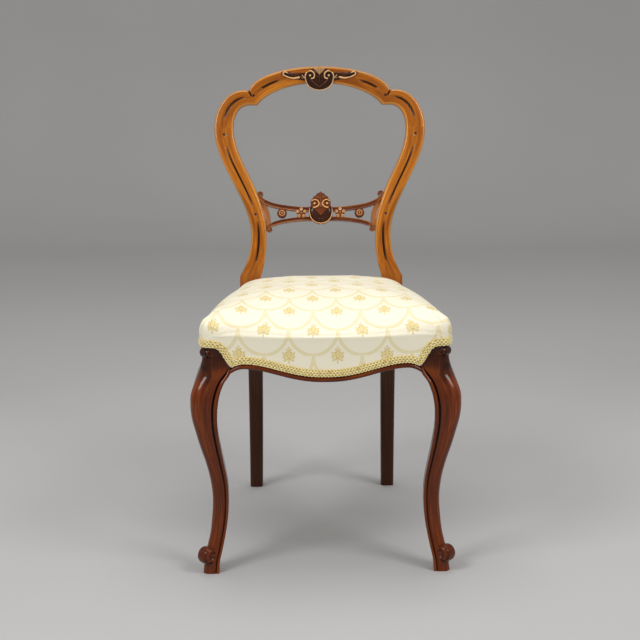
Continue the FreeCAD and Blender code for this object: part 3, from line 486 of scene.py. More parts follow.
shoulder_t = np.linspace(0, 1, 76)
arch_t = np.sin(np.linspace(math.pi / 2, -math.pi / 2, 241))
arch_t = 0.5 * arch_t + 0.5 * np.linspace(1, -1, 241)
right_outer, right_inner = shoulder_edges(shoulder_t)
arch_outer, arch_inner = arch_edges(arch_t)
crest_outer = np.concatenate([right_outer, arch_outer[1:-1], right_outer[::-1] * OTHER_SIDE])
crest_inner = np.concatenate([right_inner, arch_inner[1:-1], right_inner[::-1] * OTHER_SIDE])
shoulder_groove = swell(shoulder_t, 0.17, 0.86)
crest_groove = np.concatenate([shoulder_groove, swell(np.abs(arch_t[1:-1]), 0.47, 0.76),
                               shoulder_groove[::-1]])
notch_place = np.linalg.norm(np.abs(crest_outer) - right_outer[-1], axis=1)


def notch_cut(a, half):
    """Small V cut from the outer edge where the arch meets a shoulder."""
    share = np.clip(1 - notch_place[:, None] / 0.0035, 0, 1)
    return share * smooth((a / half[:, None] - 0.05) / 0.3)


notch_eye = sum(line[0] for line in arch_edges(np.array([0.955]))) / 2
notch_eye = np.array([notch_eye[0], float(post_front_y(notch_eye[1])), notch_eye[1]])
crest = swept_member("crest_rail_moulded", crest_outer, crest_inner, 0.024, 0.0052, FACE_CROWN,
                     FACE_VALLEY, crest_groove, PAINTED_EDGE_HIGHLIGHT,
                     [notch_eye, notch_eye * np.array([-1, 1, 1])], notch_cut)
finish(stile_right, back_walnut, "polished_walnut", "stile_leg_right")
finish(stile_left, back_walnut, "polished_walnut", "stile_leg_left")
finish(crest, back_walnut, "polished_walnut", "crest_rail")


# Carvings: heights drawn with a few strokes over a fine grid


def stroke(x, z, points, width, height, shape="round"):
    """Height over (x, z) of a ridge or pad along a curve; width is (start, end), all in mm."""
    line = drawn_line(points, max(12, len(points) * 7))
    best = np.full(x.shape, 1e9)
    place = np.zeros(x.shape)
    count = len(line) - 1
    for i in range(count):
        start = line[i]
        step = line[i + 1] - start
        length = max(float(step @ step), 1e-9)
        t = np.clip(((x - start[0]) * step[0] + (z - start[1]) * step[1]) / length, 0, 1)
        d = np.hypot(x - start[0] - t * step[0], z - start[1] - t * step[1])
        nearer = d < best
        best = np.where(nearer, d, best)
        place = np.where(nearer, (i + t) / count, place)
    w = width[0] + (width[1] - width[0]) * place
    if shape == "pad":
        return height * smooth((w - best) / 1.6)
    return height * np.sqrt(np.clip(1 - (best / w) ** 2, 0, 1))


def carving(name, span, low, high, step, heights, place, thickness, backwards=(0.0, 1.0, 0.0)):
    """Relief over a grid of step mm, cut out round its edge, with a flat back."""
    x = np.arange(-span, span + step / 2, step)
    z = np.arange(low, high + step / 2, step)
    x, z = np.meshgrid(x, z, indexing="ij")
    height, tone, solid = heights(x, z)
    outside = -9.0
    piece = skin(name, place(x, z, height), np.where(solid, tone, outside), closed=False, capped=False)
    mesh = piece.data
    values = np.empty(len(mesh.vertices), dtype=np.float32)
    mesh.attributes["relief"].data.foreach_get("value", values)
    bpy.ops.object.mode_set(mode="EDIT")
    bpy.ops.mesh.select_mode(type="VERT")
    bpy.ops.mesh.select_all(action="DESELECT")
    bpy.ops.object.mode_set(mode="OBJECT")
    mesh.vertices.foreach_set("select", values < outside / 2)
    bpy.ops.object.mode_set(mode="EDIT")
    bpy.ops.mesh.delete(type="VERT")
    bpy.ops.mesh.select_all(action="SELECT")
    bpy.ops.mesh.extrude_region_move()
    bpy.ops.object.mode_set(mode="OBJECT")
    co = np.empty(len(mesh.vertices) * 3)
    mesh.vertices.foreach_get("co", co)
    co = co.reshape(-1, 3)
    moved = np.empty(len(mesh.vertices), dtype=bool)
    mesh.vertices.foreach_get("select", moved)
    backwards = np.array(backwards)
    depth = co @ backwards
    co[moved] += backwards * (thickness + (depth.max() - depth[moved]) * 0.9)[:, None]
    mesh.vertices.foreach_set("co", co.ravel())
    bpy.ops.object.mode_set(mode="EDIT")
    bpy.ops.mesh.select_all(action="SELECT")
    bpy.ops.mesh.normals_make_consistent(inside=False)
    bpy.ops.object.mode_set(mode="OBJECT")
    bpy.ops.object.shade_smooth_by_angle(angle=math.radians(50))
    return piece


def highest(x, z, strokes, shape="round"):
    """The highest of several strokes, each given by its points, its widths and its height."""
    return np.maximum.reduce([stroke(x, z, *one, shape) for one in strokes])


def crest_heights(x, z):
    """Shell between two volutes, a blunt fan leaf above and a leaf scroll each side, in mm."""
    s = np.abs(x)
    pads = [
        ([(0, -0.5), (7.5, 1)], (22.4, 22.4), 3.0),
        ([(10, 2), (16.5, 5)], (15, 14), 3.4),
        ([(0, 13), (0, 20.5)], (12, 6.0), 4.2),
        ([(28, 6), (45, 7), (60, 9), (74, 12.5)], (9.5, 5.5), 1.8),
    ]
    base = highest(s, z, pads, "pad")
    volute = [(16.3, 2.2), (12.0, 3.5), (10.2, 8.5), (12.6, 15), (19.2, 18), (26, 15.2), (29, 8.5),
              (28.2, -1), (25, -9.5), (18, -16.3), (8.5, -20.2), (0, -21.3)]
    highlighted = [
        (volute, (1.8, 1.2), 3.4),
        ([(19.2, 8.5), (19.4, 8.5)], (2.7, 2.7), 3.6),
        ([(42, 4.8), (54, 3), (68, 6.6), (75, 12), (71.8, 16), (66, 14)], (2.5, 1.6), 3.0),
        ([(31, 4), (36, 9.5)], (2.0, 1.2), 2.4),
        ([(34, 2.5), (39, 6)], (1.7, 1.1), 2.0),
        ([(16.5, -0.5), (9, -8.5), (0, -15)], (1.3, 1.5), 1.7),
    ]
    plain = [
        ([(40, 13), (52, 11.5), (64, 11.8)], (3.2, 1.6), 1.8),
        ([(46, 8.3), (58, 8)], (1.7, 1.0), 1.2),
        ([(0, 9), (0, -4)], (2.2, 1.2), 2.0),
        ([(4.2, 6), (6.5, -4)], (1.5, 1.0), 1.6),
        ([(0, 8), (0, 21)], (2.6, 2.0), 1.8),
        ([(8.5, 14), (11.5, 19)], (1.6, 1.2), 1.2),
    ]
    bright = highest(s, z, highlighted)
    ridge = np.maximum(bright, highest(s, z, plain))
    # Painted shade in the hollows, lighter on the ridges, painted highlight on the highlighted strokes.
    tone = -0.95 + 0.55 * np.clip(ridge / 2.0, 0, 1) + 1.5 * np.clip((bright - 1.0) / 1.6, 0, 1)
    # Painted highlight on the fan leaf.
    leaf = stroke(s, z, [(0, 10.5), (0, 21.5)], (1.5, 12), 1.0, "pad") * (z > 9)
    tone = np.maximum(tone, -1.0 + 1.6 * leaf)
    return base + ridge, tone, (base > 0.35) & (z < 27)


def on_crest(x, z, height):
    up = CREST_TOP - 0.0268 + z * MM
    face = post_front_y(up) + 0.0016
    return np.stack([x * MM, face - height * MM, up], -1)


crest_ornament = carving("crest_ornament", 81, -22, 29, 0.45, crest_heights, on_crest, 0.006)
finish(crest_ornament, carved_walnut, "polished_walnut", "crest_carving")

LEAN_SLOPE = 0.3093
LEAN = math.atan(LEAN_SLOPE)
INTO_RAIL = (0.0, math.cos(LEAN), -math.sin(LEAN))
RAIL_FACE_Y = float(post_front_y(np.array(MID_RAIL_Z))) + 0.005


def leaned(points):
    """Leans points drawn upright round the mid rail's middle, and sets them in the back."""
    y, z = points[..., 1], points[..., 2] - MID_RAIL_Z
    return np.stack([points[..., 0], RAIL_FACE_Y + y * math.cos(LEAN) + z * math.sin(LEAN),
                     MID_RAIL_Z + z * math.cos(LEAN) - y * math.sin(LEAN)], -1)


def cartouche_heights(x, z):
    """Round bowl under a pointed leaf with two scrolls, in mm."""
    s = np.abs(x)
    pads = [
        ([(0, 0), (0.5, 0)], (24.8, 24.8), 4.0),
        ([(0, 16), (0, 36)], (9, 4.0), 6.4),
    ]
    slope = 43.2 - 0.42 * s - 0.024 * s ** 2 + 0.7 * np.cos(s * 0.9)
    top = 5.0 * smooth((slope - z) / 2) * smooth((21.2 - s) / 1.6) * (z > 6)
    base = np.maximum(highest(s, z, pads, "pad"), top)
    bowl = 5.0 * np.sqrt(np.clip(1 - (x / 20.5) ** 2 - (z / 20.5) ** 2, 0, 1)) * smooth((14 - z) / 6)
    curl = [(18.5, 22), (12.3, 25.2), (5, 21.2), (3.6, 15.2), (8.6, 10.2), (14.5, 8.4)]
    highlighted = [
        (curl, (1.3, 1.9), 3.4),
        ([(12.6, 17.2), (12.9, 17.2)], (2.8, 2.8), 3.6),
        ([(23.2, 9), (23.3, 0), (19.5, -12.8), (10.5, -20.8), (0, -23.3)], (1.5, 1.5), 2.6),
    ]
    plain = [
        ([(0, 12), (0, 41)], (3.4, 1.2), 2.6),
        ([(8, 29), (14, 33)], (2.6, 1.6), 1.6),
        ([(4.5, 28), (6.5, 36)], (2.2, 1.3), 1.4),
        ([(2.6, -15.5), (2.9, -14)], (1.5, 1.3), 1.6),
    ]
    bright = highest(s, z, highlighted)
    ridge = np.maximum(bright, highest(s, z, plain))
    shield = smooth((z + 8 - 0.95 * s) / 1.6)
    # Painted shade in the hollows and the bowl, painted highlight on the ridges and highlighted strokes; the
    # shield and the leaf's top are painted lighter.
    tone = -0.9 + 0.5 * np.clip(ridge / 2.0, 0, 1) + 1.5 * np.clip((bright - 1.0) / 1.6, 0, 1)
    tone = np.maximum(tone, -0.9 + 0.55 * shield)
    tone = np.where(z > 25, np.maximum(tone, -0.3), tone)
    return base + bowl * 0.7 + 1.4 * shield + ridge, tone, (base > 0.5) & (z < 44)


def on_mid_rail(x, z, height):
    return leaned(np.stack([x * MM, -0.004 - height * MM, MID_RAIL_Z + (z + 1.5) * MM], -1))


cartouche = carving("mid_rail_cartouche_carved", 26, -25, 43, 0.5, cartouche_heights, on_mid_rail, 0.008,
                    INTO_RAIL)
finish(cartouche, rail_walnut, "polished_walnut", "mid_rail_cartouche")


def moulded_bar(name, points, width, depth, lift=0.0, face=-0.35):
    """Bar swept along a curve in the rail's plane: two arrises with a hollow between them."""
    count = 150
    line = drawn_line(points, count) * MM
    across = np.gradient(line, axis=0)
    across = unit(np.stack([-across[:, 1], across[:, 0]], -1))
    share = np.linspace(0, 1, count)
    half = np.interp(share, [0, 0.75, 1], np.array(width) * MM / 2)[:, None]
    profile = np.array([(-1, 1), (-1, 0.16), (-0.94, 0.06), (-0.8, 0.0), (-0.62, 0.03), (-0.45, 0.13),
                        (-0.2, 0.17), (0, 0.18), (0.2, 0.17), (0.45, 0.13), (0.62, 0.03), (0.8, 0.0),
                        (0.94, 0.06), (1, 0.16), (1, 1), (0, 1.02)])
    a = profile[:, 0] * half
    b = profile[:, 1] * depth * MM - lift * MM
    x = line[:, :1] + across[:, :1] * a
    up = line[:, 1:] + across[:, 1:] * a
    rows = leaned(np.stack([x, b + 0 * a, up + MID_RAIL_Z], -1))
    # Painted shade in the hollow and down one side, painted highlight on the arrises and the scroll ends; an
    # end plate's face is painted light.
    tone = np.tile(np.where(profile[:, 1] > 0.1, face, 0.45) * (profile[:, 1] < 0.5), (count, 1))
    tone[:, profile[:, 0] < 0] -= 0.35 * (face < 0)
    tone[-34:] = np.maximum(tone[-34:], 0.3)
    return skin(name, rows, tone)


def turned(name, x, z, profile, sides=32):
    """Round boss: profile lists (radius, height out of the face) in mm from the rim inwards."""
    profile = drawn_line(profile, 26)
    turn = np.linspace(0, 2 * math.pi, sides, endpoint=False)
    r = profile[:, :1] * MM
    rows = np.stack([x * MM + r * np.cos(turn), -profile[:, 1:] * MM + 0 * r * turn,
                     MID_RAIL_Z + z * MM + r * np.sin(turn)], -1)
    # Painted highlight on the rounds of the rings, painted shade in the grooves between them.
    tone = np.interp(profile[:, :1], [0, 1.7, 2.6, 3.4, 4.4, 5.9, 6.6, 8.0, 9.9],
                     [0.9, 0.7, -0.9, -0.7, 0.9, 0.7, -0.1, -0.55, -0.8])
    tone = np.tile(tone, (1, sides))
    return skin(name, leaned(rows), tone)


def flower_heights(x, z):
    """Five petals round a button, in mm."""
    reach = np.hypot(x, z) * 0.88
    turn = np.arctan2(z, x) - math.pi / 2
    petal = np.abs(np.cos(2.5 * turn))
    edge = 6.6 + 3.4 * petal ** 0.6
    height = 3.2 * np.sqrt(np.clip(1 - (reach / edge) ** 2, 0, 1)) * (0.55 + 0.45 * petal)
    button = 4.6 * np.sqrt(np.clip(1 - (reach / 2.7) ** 2, 0, 1))
    ring = (reach > 2.7) & (reach < 3.8)
    height = np.where(ring, height * 0.55, np.maximum(height, button))
    # Painted highlight on the petals, painted shade between them and in the ring round the button.
    tone = np.where(petal < 0.42, -0.9, 0.62) - 1.2 * ring
    return height, tone, reach < edge


def on_rail_at(middle_x):
    def place(x, z, height):
        return leaned(np.stack([(middle_x + x) * MM, 0.001 - height * MM, MID_RAIL_Z + (z + 1.5) * MM], -1))
    return place


bars = []
for side in (1, -1):
    upper = [(0, 9.3), (42, 9.4), (65, 12), (84.5, 15), (104, 20.2), (116, 26), (124, 33),
             (128, 39), (125.5, 44), (120, 42.5), (121, 38)]
    lower = [(0, -10.8), (42, -11), (66, -13.7), (86, -17.3), (98, -21.5), (106, -26), (109.5, -31),
             (106.5, -35), (101.5, -33), (103, -29.5)]
    bars.append(moulded_bar("upper_bar", [(side * x, z) for x, z in upper], (9.5, 9.5, 4.2), 14))
    bars.append(moulded_bar("lower_bar", [(side * x, z) for x, z in lower], (8.5, 8.0, 3.8), 14))
    stay = [(side * 127, 32), (side * 121, 20), (side * 113.5, 4), (side * 110.5, -12), (side * 111, -27)]
    bars.append(moulded_bar("end_plate", stay, (17, 15, 15), 12, lift=-2.5, face=0.42))
    bars.append(turned("boss", side * 79.5, 0.8, [(9.6, -12), (9.9, -5), (10, -0.5), (9.2, 2.2), (7.4, 3.6),
                                                  (6.2, 3.0), (5.6, 4.4), (4.4, 5.2), (3.3, 4.2),
                                                  (2.6, 4.6), (1.6, 5.9), (0.05, 6.4)]))
    bars.append(carving("flower", 12, -12, 12, 0.48, flower_heights, on_rail_at(side * 39.9), 0.007,
                        INTO_RAIL))
mid_rail = joined("mid_rail_carved", bars)
finish(mid_rail, rail_walnut, "polished_walnut", "mid_rail")


# Seat rails


def rail_face_y(x):
    return FRONT_Y - 0.005 * (1 - (x / (FRONT_X - CORNER_RADIUS)) ** 2)


def rail_face_x(y):
    y0 = FRONT_Y + CORNER_RADIUS
    t = (y - y0) / (SEAT_BACK_Y - y0)
    return FRONT_X + (POST_OUTER_X - 0.003 - FRONT_X) * t + 0.044 * t * (1 - t)


def front_rail_bottom(x):
    low = RAIL_TOP - FRONT_RAIL_DEPTH
    peak = FRONT_LEG[0] - BLOCK_HALF - BRACKET_RUN
    x = np.abs(x)
    rise = low + FRONT_RAIL_RISE * smooth(x / peak) ** 1.3
    fall = low + FRONT_RAIL_RISE - BRACKET_DROP * ((x - peak) / BRACKET_RUN) ** 2
    return np.where(x < peak, rise, fall)


def side_rail_bottom(y):
    low = RAIL_TOP - SIDE_RAIL_DEPTH
    high = RAIL_TOP - FRONT_RAIL_DEPTH + FRONT_RAIL_RISE
    run = y - (FRONT_Y + 2 * BLOCK_HALF)
    half = (POST_Y - FRONT_Y - 2 * BLOCK_HALF) / 2
    fall = high - BRACKET_DROP * ((BRACKET_RUN - run) / BRACKET_RUN) ** 2
    return np.where(run < BRACKET_RUN, fall, high + (low - high) * smooth((run - BRACKET_RUN) / half))


def rail(name, face, inward, bottom):
    """Rail with a round bead along its lower edge and a quirk above it."""
    turn = np.linspace(-0.5 * math.pi, 0.5 * math.pi, 11)
    bead = np.stack([-BEAD * np.cos(turn), BEAD + BEAD * np.sin(turn)], -1)
    profile = np.concatenate([[(0.010, 0.0), (0.002, 0.0)], bead,
                              [(0.0012, 2.1 * BEAD), (0.0012, 2.5 * BEAD), (0.0, 2.7 * BEAD)]])
    a = np.concatenate([profile[:, 0], [0.0, RAIL_THICKNESS, RAIL_THICKNESS]])
    above = np.concatenate([profile[:, 1], [0, 0, 0]])
    count = len(profile)
    z = bottom[:, None] + above
    z[:, count:count + 2] = RAIL_TOP
    rows = np.concatenate([face[:, None] + inward * a[:, None], z[..., None]], -1)
    tone = np.zeros(rows.shape[:2])
    # Painted shade in the quirk, painted highlight on the bead.
    tone[:, count - 3:count - 1] = -1
    tone[:, 5:10] = 0.22
    return skin(name, rows, tone)


x = np.linspace(-0.172, 0.172, 181)
front_rail = rail("front_rail_beaded", np.stack([x, rail_face_y(x)], -1), np.array([0.0, 1.0]),
                  front_rail_bottom(x))
finish(front_rail, leg_walnut, "polished_walnut", "front_rail")
y = np.linspace(FRONT_Y + 2 * BLOCK_HALF - 0.003, POST_Y, 150)
side_right = rail("side_rail_right_beaded", np.stack([rail_face_x(y), y], -1), np.array([-1.0, 0.0]),
                  side_rail_bottom(y))
side_left = mirror_image(side_right, "side_rail_left_beaded")
finish(side_right, leg_walnut, "polished_walnut", "side_rail_right")
finish(side_left, leg_walnut, "polished_walnut", "side_rail_left")


# Cabriole front legs

CABRIOLE = [
    (0.0, 16.7, 14.7), (0.046, 14.8, 14.2), (0.104, 9.5, 14.5), (0.164, 3.8, 14.2),
    (0.231, -0.2, 14.7), (0.312, -2.2, 14.7), (0.394, 0.0, 15.5), (0.475, 6.0, 16.5),
    (0.556, 13.2, 18.3), (0.625, 18.1, 19.9), (0.692, 21.2, 22.3), (0.745, 21.2, 23.8),
    (0.796, 18.2, 25.2), (0.838, 12.2, 26.7), (0.873, 4.1, 29.1), (0.907, 1.2, 26.2), (1.0, 0.0, 25.0),
]


def leg_rows():
    """Sections of the leg: bead and quirk down both inner edges, round outer corner."""
    share = np.linspace(0, 1, 170)
    offset, half = (through(CABRIOLE, share) * MM).T
    upper = smooth((share - 0.86) / 0.05)
    lo, hi = offset - half, offset + half
    bead = (0.28 * half + 0.0012) * (1 - upper) + 0.002 * upper
    corner = 0.8 * half * (1 - upper) + CORNER_RADIUS * upper
    r = bead / 2
    turn = np.linspace(math.pi, 0.12 * math.pi, 11)
    a = lo[:, None] + r[:, None] * (1 + np.cos(turn))
    b = hi[:, None] - r[:, None] * (1 - np.sin(turn))
    quirk = np.array([(1.0, -0.55), (1.12, -0.5), (1.3, -0.1), (1.5, 0.0)])
    a = np.concatenate([a, lo[:, None] + bead[:, None] * quirk[:, 0]], 1)
    b = np.concatenate([b, hi[:, None] + bead[:, None] * quirk[:, 1] * (1 - 0.8 * upper[:, None])], 1)
    turn = np.linspace(math.pi / 2, math.pi / 4, 9)
    a = np.concatenate([a, (hi - corner)[:, None] + corner[:, None] * np.cos(turn)], 1)
    b = np.concatenate([b, (hi - corner)[:, None] + corner[:, None] * np.sin(turn)], 1)
    inner = np.linspace(0.35, 1, 4)[:-1]
    start_b = lo[:, None] + (b[:, :1] - lo[:, None]) * inner
    a = np.concatenate([lo[:, None] + 0 * start_b, a], 1)
    b = np.concatenate([start_b, b], 1)
    tone = np.zeros_like(a)
    # Painted shade in the quirks, deeper higher up the leg; painted highlight on the beads.
    tone[:, 13:17] = -1.0 * (0.35 + 0.65 * smooth((share - 0.3) / 0.3))[:, None]
    tone[:, 5:11] = 0.3
    tone *= (1 - upper)[:, None]
    # Darker over the ear at the top.
    ear = smooth((share - 0.875) / 0.035)[:, None]
    tone = tone - 0.7 * ear
    z = (RAIL_TOP * share)[:, None]
    aside = (b - a) / np.maximum(2 * half, 1e-6)[:, None]
    lip = 0.366 - 0.045 * aside ** 2 - z
    knee = smooth(lip / 0.024) * smooth((0.95 - np.abs(aside)) / 0.5) * smooth((z - 0.20) / 0.12)
    scotia = smooth((lip + 0.03) / 0.012) * smooth((0.004 - lip) / 0.012)
    scotia = scotia * smooth((0.9 - np.abs(aside)) / 0.5)
    a = a + 0.0022 * knee - 0.0012 * scotia
    b = b + 0.0022 * knee - 0.0012 * scotia
    # Painted shade in the hollow scotia above the knee.
    tone = tone - 0.55 * scotia
    a, b = np.concatenate([a, b[:, -2::-1]], 1), np.concatenate([b, a[:, -2::-1]], 1)
    tone = np.concatenate([tone, tone[:, -2::-1]], 1)
    z = np.repeat((RAIL_TOP * share)[:, None], a.shape[1], 1)
    return np.stack([FRONT_LEG[0] + a, FRONT_LEG[1] - b, z], -1), tone


def whorl_rows(middle, axis, radius, half_width, turns=1.6):
    """Scroll of a toe or an ear: a round roll with a spiral step on each end."""
    across = unit(np.cross(axis, [0.0, 0.0, 1.0]))
    rings = drawn_line([(0.02, -1.0), (0.45, -1.12), (0.62, -0.98), (0.9, -0.78), (1.0, -0.4), (1.02, 0.0),
                        (1.0, 0.4), (0.9, 0.78), (0.62, 0.98), (0.45, 1.12), (0.02, 1.0)], 60)
    turn = np.linspace(0, 2 * math.pi, 48, endpoint=False)
    r = radius * rings[:, :1]
    rows = (middle + axis * (half_width * rings[:, 1])[:, None, None]
            + across * (r * np.cos(turn))[..., None] + np.array([0, 0, 1.0]) * (r * np.sin(turn))[..., None])
    spiral = np.cos(turn - turns * 2 * math.pi * rings[:, :1]) * (rings[:, :1] < 0.92)
    rows = rows + (axis * np.sign(rings[:, 1])[:, None, None]) * (0.0011 * spiral)[..., None]
    # Painted highlight and painted shade follow the spiral step.
    return rows, np.clip(0.5 * spiral - 0.1, -1, 1)


rows, tone = leg_rows()
diagonal = unit(np.array([1.0, 1.0, 0.0]))
toe = np.array([FRONT_LEG[0] + 0.0235, FRONT_LEG[1] - 0.0235, 0.0335])
toe_rows, toe_tone = whorl_rows(toe, diagonal, 0.0160, 0.0130)
scroll = np.array([FRONT_LEG[0] + 0.0175, FRONT_LEG[1] - 0.0175, 0.4135])
scroll_rows, scroll_tone = whorl_rows(scroll, diagonal, 0.0088, 0.0105)
# The ear scroll is darker than the toe.
leg = joined("cabriole_leg_right", [skin("leg", rows, tone), skin("toe", toe_rows, toe_tone - 0.1),
                                    skin("ear_scroll", scroll_rows, scroll_tone - 0.6)])
leg_left = mirror_image(leg, "cabriole_leg_left")
finish(leg, leg_walnut, "polished_walnut", "front_leg_right")
finish(leg_left, leg_walnut, "polished_walnut", "front_leg_left")


# Seat: cover, braid, webs and hessian

MIDDLE_Y = (FRONT_Y + SEAT_BACK_Y) / 2
TRIM_RISE = 2 * BEAD + 0.0015


def seat_plan():
    """Edge of the seat half way round, from the middle of the front to the middle of the back.

    Gives each point, the way it faces, and the height of the cover's lower edge there.
    """
    end_x = FRONT_X - CORNER_RADIUS
    x = np.linspace(0, end_x, 90)
    front = np.stack([x, rail_face_y(x)], -1)
    turn = np.linspace(0, math.pi / 2, 20)[1:]
    corner = np.stack([end_x + CORNER_RADIUS * np.sin(turn),
                       FRONT_Y + CORNER_RADIUS * (1 - np.cos(turn))], -1)
    y = np.linspace(FRONT_Y + CORNER_RADIUS, POST_Y - GAP_AT_POST, 110)[1:]
    side = np.stack([rail_face_x(y), y], -1)
    inner = POST_INNER_X - GAP_AT_POST
    x = np.linspace(side[-1, 0], inner, 9)[1:]
    before_post = np.stack([x, np.full(8, POST_Y - GAP_AT_POST)], -1)
    y = np.linspace(POST_Y, SEAT_BACK_Y, 9)[1:]
    beside_post = np.stack([np.full(8, inner), y], -1)
    x = np.linspace(inner, 0, 40)[1:]
    rear = np.stack([x, np.full(39, SEAT_BACK_Y)], -1)
    plan = np.concatenate([front, corner, side, before_post, beside_post, rear])
    step = np.gradient(plan, axis=0)
    facing = unit(np.stack([step[:, 1], -step[:, 0]], -1))
    count = len(front) + len(corner) + len(side)
    facing[count:count + 16] = 0
    facing[count - 12:count] *= np.linspace(1, 0.35, 12)[:, None]
    facing[-39:] = (0, 1)
    bottom = np.empty(len(plan))
    ear_at = [EAR_FROM_LEG, -0.022, -0.014, -0.0085, -0.003, 0.04]
    ear_z = RAIL_TOP + np.array([-0.0475, -0.0385, -0.0255, -0.0130, -0.0075, -0.0060])
    ahead = len(front) + len(corner)
    x, y = plan[:ahead, 0], plan[ahead:, 1]
    bottom[:ahead] = np.where(x < FRONT_LEG[0] + EAR_FROM_LEG, front_rail_bottom(x) + TRIM_RISE,
                              np.interp(x - FRONT_LEG[0], ear_at, ear_z))
    back_from = FRONT_LEG[1] - y
    bottom[ahead:] = np.where(back_from < EAR_FROM_LEG, side_rail_bottom(y) + TRIM_RISE,
                              np.interp(back_from, ear_at, ear_z))
    bottom[-47:] = RAIL_TOP - 0.060 + TRIM_RISE
    for _ in range(3):
        bottom[1:-1] = (bottom[:-2] + 2 * bottom[1:-1] + bottom[2:]) / 4
    return plan, facing, bottom


def whole(half, flip):
    """Adds the other half of a row that starts and ends in the middle."""
    return np.concatenate([half, half[-2:0:-1] * flip])


plan, facing, bottom = seat_plan()
plan, facing, bottom = whole(plan, OTHER_SIDE), whole(facing, OTHER_SIDE), whole(bottom, 1.0)

# How far the cloth's hanging edge stands out, by its height over the rails' top
EDGE_HEIGHT = [-0.085, -0.044, -0.020, 0.004, 0.012]
EDGE_OUT = [0.0018, 0.0018, 0.0023, 0.0040, 0.0046]

# Line of the cover over its edge: place, height above the rails, overhang, share of the way in
COVER_LINE = [
    (0.0, 0.004, 0.0040, 0.0), (0.10, 0.011, 0.0047, 0.0), (0.18, 0.0165, 0.0044, 0.001),
    (0.25, 0.0215, 0.0026, 0.005), (0.31, 0.0262, -0.0004, 0.016), (0.38, 0.0322, -0.003, 0.044),
    (0.46, 0.0395, -0.004, 0.10), (0.58, 0.0492, -0.004, 0.23), (0.70, 0.0560, -0.004, 0.40),
    (0.82, 0.0615, -0.004, 0.60), (0.92, 0.0645, -0.004, 0.80), (1.0, 0.0650, -0.004, 1.0),
]


def cover_rows():
    """Rows of the cover from its lower edge up over the roll to the crown, and their cloth map."""
    centre = np.array([0.0, MIDDLE_Y])
    rows = []
    hanging, rolled = 17, 24
    for s in np.linspace(0, 1, hanging + 1)[:-1]:
        z = bottom + (RAIL_TOP + 0.004 - bottom) * s
        out = np.interp(z - RAIL_TOP, EDGE_HEIGHT, EDGE_OUT)
        rows.append(np.concatenate([plan + facing * out[:, None], z[:, None]], 1))
    for rise, out, way_in in through(COVER_LINE, np.linspace(0, 1, 64)):
        xy = centre + (1 - min(way_in, 1)) * (plan + facing * out - centre)
        tilted = min(rise / 0.025, 1)
        depth = (MIDDLE_Y - xy[:, 1]) / (MIDDLE_Y - FRONT_Y)
        corner = np.clip(np.abs(xy[:, 0]) / FRONT_X, 0, 1) ** 3 * np.clip(depth, 0, 1) ** 3
        sag = smooth((depth - 0.35) / 0.65) * (1 - np.clip(np.abs(xy[:, 0]) / FRONT_X, 0, 1) ** 2)
        lift = SEAT_TILT * (MIDDLE_Y - xy[:, 1]) + CORNER_LIFT * corner - FRONT_ROLL * sag
        rows.append(np.column_stack([xy, RAIL_TOP + rise + tilted * lift]))
    rows = np.array(rows)
    steps = np.linalg.norm(np.diff(rows, axis=0), axis=2)
    first = hanging + rolled
    run = np.concatenate([np.cumsum(steps[first:][::-1], axis=0)[::-1], np.zeros((1, len(plan)))])
    way = unit(rows[first, :, :2] - centre)
    top_map = way[None] * run[..., None]
    drop = np.cumsum(steps[:first][::-1], axis=0)[::-1]
    hang = np.where(np.linalg.norm(facing, axis=1, keepdims=True) > 0.2, unit(facing + 1e-9), way)
    side_map = top_map[:1] + hang[None] * drop[..., None]
    cloth = np.concatenate([side_map, top_map])
    return rows, np.concatenate([cloth, cloth[:, :1]], 1)


def puff(piece, loose_above, cap, pressure=3.0):
    """Air under the cloth swells it a little where nothing holds it."""
    co = np.empty(len(piece.data.vertices) * 3)
    piece.data.vertices.foreach_get("co", co)
    start = co.reshape(-1, 3).copy()
    held = piece.vertex_groups.new(name="held")
    fixed = np.nonzero(start[:, 2] < loose_above)[0].tolist()
    held.add(fixed, 1.0, "REPLACE")
    cloth = piece.modifiers.new("stuffed", "CLOTH")
    cloth.settings.vertex_group_mass = held.name
    cloth.settings.use_pressure = True
    cloth.settings.uniform_pressure_force = pressure
    cloth.settings.effector_weights.gravity = 0
    cloth.settings.tension_stiffness = 18
    cloth.settings.compression_stiffness = 18
    cloth.settings.quality = 5
    cloth.point_cache.frame_end = 20
    for number in range(1, 21):
        bpy.context.scene.frame_set(number)
    bpy.ops.object.select_all(action="DESELECT")
    piece.select_set(True)
    bpy.context.view_layer.objects.active = piece
    bpy.ops.object.modifier_apply(modifier=cloth.name)
    bpy.context.scene.frame_set(1)
    piece.data.vertices.foreach_get("co", co)
    move = co.reshape(-1, 3) - start
    size = np.linalg.norm(move, axis=1, keepdims=True)
    move *= np.minimum(1, cap / np.maximum(size, 1e-9))
    piece.data.vertices.foreach_set("co", (start + move).ravel())
    piece.data.update()


def petal(tree, x, y, middle, size, angle):
    """1 in the middle of an ellipse of the sprig, 0 on its edge; sizes in mm."""
    c, s = math.cos(math.radians(angle)), math.sin(math.radians(angle))
    x = maths(tree, "SUBTRACT", x, middle[0] * MM)
    y = maths(tree, "SUBTRACT", y, middle[1] * MM)
    a = maths(tree, "MULTIPLY_ADD", x, c / (size[0] * MM), maths(tree, "MULTIPLY", y, s / (size[0] * MM)))
    b = maths(tree, "MULTIPLY_ADD", y, c / (size[1] * MM), maths(tree, "MULTIPLY", x, -s / (size[1] * MM)))
    far = maths(tree, "MULTIPLY_ADD", a, a, maths(tree, "MULTIPLY", b, b))
    return maths(tree, "SUBTRACT", 1.0, maths(tree, "SQRT", far))


